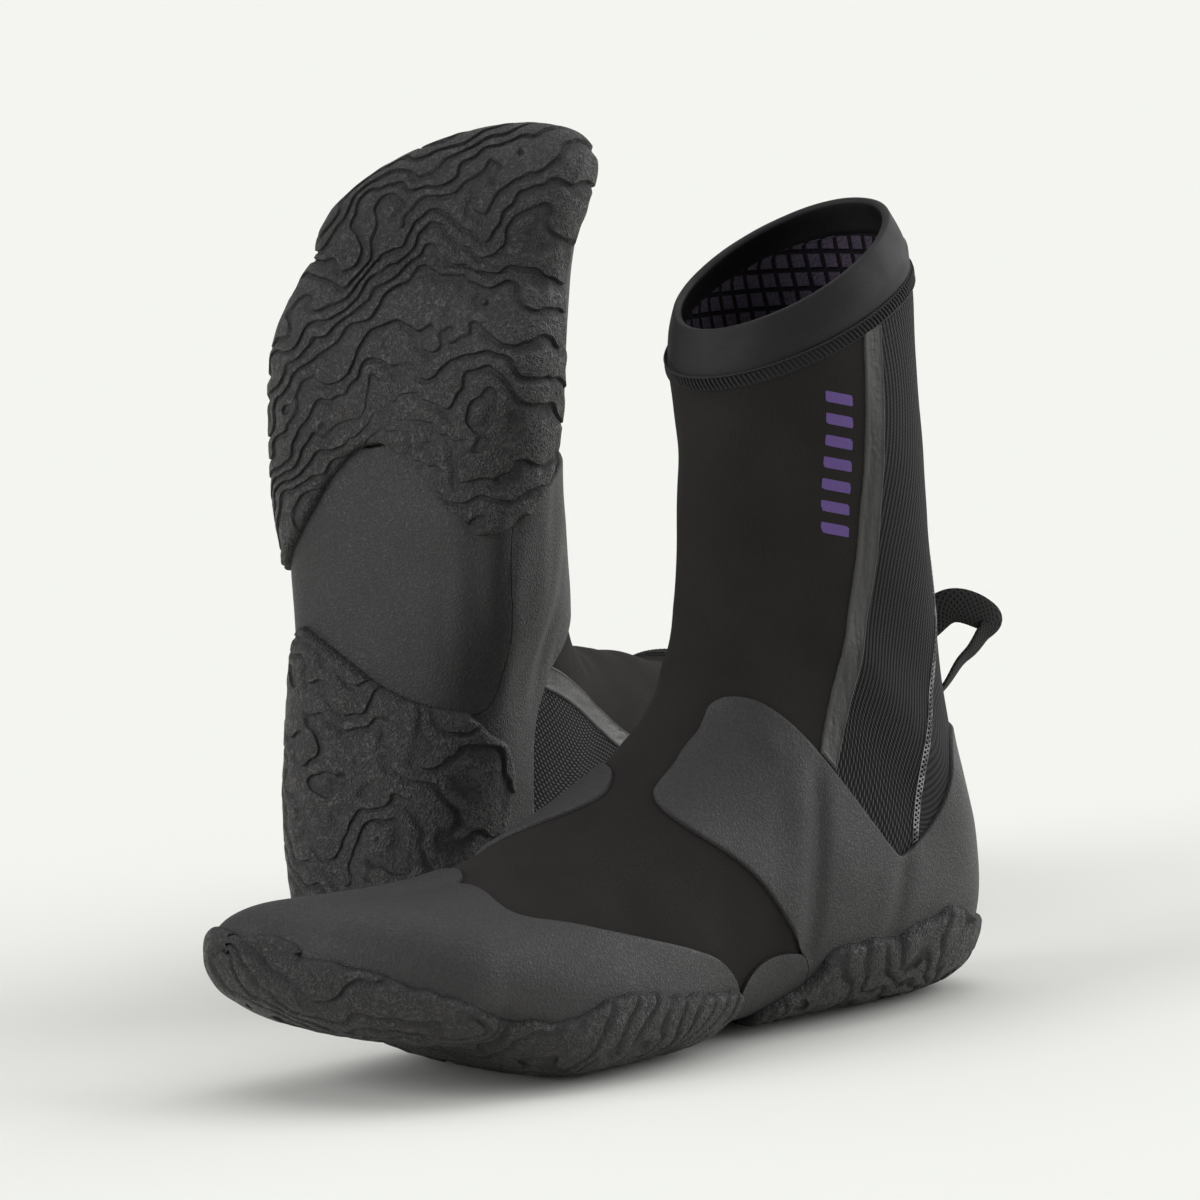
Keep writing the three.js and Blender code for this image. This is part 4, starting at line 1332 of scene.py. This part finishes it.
def cuff():
    """The smooth collar above the seam, turned in at the rim and as thick as the neoprene."""
    outer = skin_grid(CUFF_GRID, first=CUFF_ROW + HAIR, middle="bottom")
    points, normals = outer["point"], outer["normal"]
    ahead = points[-1] - points[-3]
    ahead /= np.linalg.norm(ahead, axis=1, keepdims=True)
    groove = -SEAM_GROOVE * (1 - rounded(np.linspace(0, len(points), len(points)), 1.0))
    rings = list(points + normals * groove[:, None, None])
    half = NEOPRENE / 2
    for turn in np.linspace(0, math.pi, 9)[1:-1]:
        inwards = normals[-1] * (half * math.cos(turn) - half)
        rings.append(points[-1] + inwards + ahead * half * 0.8 * math.sin(turn))
    rings += list((points - normals * NEOPRENE)[::-1])
    rings.append(rings[0])
    profile = np.array(rings)
    across = np.repeat(outer["cloth"][:1, :, 0], len(profile), axis=0)
    steps = np.linalg.norm(np.diff(profile, axis=0), axis=-1)
    along = np.cumsum(np.concatenate([np.zeros((1, profile.shape[1])), steps]), axis=0)
    mesh = flatten({"point": profile, "cloth": np.stack([across, along], axis=-1)})
    put_on_boots("cuff", (mesh["point"], mesh["faces"]), mesh["cloth"], {}, "cuff_neoprene")


# ---------------------------------------------------------------- pull loops


def pull_loops():
    """Twisted webbing, doubled back, with both ends sunk into the heel cord panel."""
    t = np.linspace(0, len(LOOP_LINE) - 1, 110)
    line = spline(LOOP_LINE, t)
    reach, height, width, twist = line.T
    along = np.gradient(line[:, :2], axis=0)
    along /= np.linalg.norm(along, axis=1, keepdims=True)
    flat = np.stack([-along[:, 1], along[:, 0]], axis=1)
    angle = np.radians(twist)
    middle = np.stack([reach, np.zeros_like(reach), height], axis=1)
    in_plane = np.stack([flat[:, 0], np.zeros_like(reach), flat[:, 1]], axis=1)
    side = np.array([0.0, 1.0, 0.0])
    wide = in_plane * np.cos(angle)[:, None] + side * np.sin(angle)[:, None]
    thick = -in_plane * np.sin(angle)[:, None] + side * np.cos(angle)[:, None]
    corners = ((-1, 0.4), (-0.93, 1), (-0.6, 1), (-0.2, 1), (0.2, 1), (0.6, 1), (0.93, 1), (1, 0.4))
    profile = [(u, v * (1 - 0.55 * abs(u) ** 6)) for u, v in corners]
    profile += [(u, -v) for u, v in reversed(profile)]
    lengths = lengths_along(middle)
    rings = np.stack([
        middle + wide * (width / 2 * u)[:, None] + thick * (WEB_THICKNESS / 2 * v) for u, v in profile
    ], axis=1)
    rings = np.concatenate([rings, rings[:, :1]], axis=1)
    first_cap, last_cap = (
        np.repeat(end.mean(axis=1, keepdims=True), rings.shape[1], axis=1) for end in (rings[:1], rings[-1:])
    )
    points = np.concatenate([first_cap, rings, last_cap])
    across = np.array([u for u, _ in profile] + [profile[0][0]])[None, :] * 5.0
    run = np.concatenate([[0], lengths, lengths[-1:]])[:, None]
    across, run = np.broadcast_arrays(across, run)
    mesh = flatten({"point": points, "cloth": np.stack([across, run], axis=-1)})
    foot, head = (np.array([end[0], 0, end[1]]) for end in (LOOP_FOOT, LOOP_HEAD))
    upright = np.array(Vector((0, 0, 1)).rotation_difference(Vector(head - foot)).to_matrix())
    for name, lean in LOOP_LEAN.items():
        mirror = 1 if name == "left" else -1
        local = mesh["point"] @ turned("Z", 180 - lean).T @ upright.T
        own = (local + foot + np.array([-LOOP_SINK, 0, 0])) * np.array([1, mirror, 1])
        shell = (own, mesh["faces"][:, ::mirror])
        put_on_boots("pull_loop", shell, mesh["cloth"], {}, "loop_webbing", body="loop", feet=(name,))


neoprene_panels()
lining()
rubber_panels()
outsole("forefoot_outsole", forefoot_flow, FOREFOOT_TOP_OUTER, FOREFOOT_TOP_INNER, FOREFOOT_REAR, -1.0, 4.0)
outsole("heel_outsole", heel_flow, HEEL_TOP_OUTER, HEEL_TOP_INNER, HEEL_FRONT, 3.0, 8.6)
seam_tapes()
cuff()
cuff_stitching()
flatlock_seams()
shin_mark()
pull_loops()

# ---------------------------------------------------------------- stage, camera and light

VIEW_AZIMUTH, VIEW_ELEVATION, VIEW_ROLL = 119.8, 7.84, -1.94
VIEW_DISTANCE = 2.617
VIEW_TARGET = np.array([140.0, 0.0, 130.0])     # in the left boot's own millimetres
LENS, LENS_SHIFT = 242, (-0.016, 0.038)
FLOOR_COLOUR = (0.845, 0.853, 0.815)
FLOOR_REACH = 20
SKY_STRENGTH = 0.42

low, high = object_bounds()
centre = (low + high) / 2
target = Vector(SHIFTS["left"]) + Vector(TURNS["left"] @ VIEW_TARGET * MM)

camera = bpy.data.objects.new("camera", bpy.data.cameras.new("camera"))
bpy.context.scene.collection.objects.link(camera)
azimuth, elevation = math.radians(VIEW_AZIMUTH), math.radians(VIEW_ELEVATION)
back = Vector((
    math.sin(azimuth) * math.cos(elevation), -math.cos(azimuth) * math.cos(elevation), math.sin(elevation),
))
camera.location = target + back * VIEW_DISTANCE
right = Vector((0, 0, 1)).cross(back).normalized()
upward = back.cross(right)
roll = math.radians(VIEW_ROLL)
camera_x = right * math.cos(roll) + upward * math.sin(roll)
camera_y = upward * math.cos(roll) - right * math.sin(roll)
camera.rotation_mode = "QUATERNION"
camera.rotation_quaternion = Matrix((camera_x, camera_y, back)).transposed().to_quaternion()
camera.data.lens = LENS
camera.data.sensor_width = 36
camera.data.shift_x, camera.data.shift_y = LENS_SHIFT
camera.data.clip_end = 100
bpy.context.scene.camera = camera


def floor():
    """A wide plain ground."""
    mesh = bpy.data.meshes.new("floor")
    corners = [(x * FLOOR_REACH, y * FLOOR_REACH, 0) for x, y in ((-1, -1), (1, -1), (1, 1), (-1, 1))]
    mesh.from_pydata(corners, [], [(0, 1, 2, 3)])
    plane = bpy.data.objects.new("floor", mesh)
    bpy.context.scene.collection.objects.link(plane)
    f = Finish("studio floor", 0.9, 0.1)
    mesh.materials.append(f.finish(FLOOR_COLOUR))
    plane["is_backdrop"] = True


def sun(name, towards, strength, spread):
    """Broad soft light from one direction."""
    lamp = bpy.data.lights.new(name, "SUN")
    lamp.energy = strength
    lamp.angle = math.radians(spread)
    holder = bpy.data.objects.new(name, lamp)
    bpy.context.scene.collection.objects.link(holder)
    holder.location = centre + towards
    holder.rotation_mode = "QUATERNION"
    holder.rotation_quaternion = towards.to_track_quat("Z", "Y")


floor()
world = bpy.data.worlds.new("studio")
world.use_nodes = True
world.node_tree.nodes["Background"].inputs["Color"].default_value = (1, 1, 1, 1)
world.node_tree.nodes["Background"].inputs["Strength"].default_value = SKY_STRENGTH
bpy.context.scene.world = world
bpy.context.scene.view_settings.view_transform = "Standard"
up = Vector((0, 0, 1))
sun("overhead light", up * 1.5 - back * 0.4, 0.75, 60)
sun("right light", right * 1.3 - back * 0.4 + up * 0.4, 2.5, 75)
sun("left light", -right * 1.2 + back * 0.55 + up * 0.6, 1.35, 40)
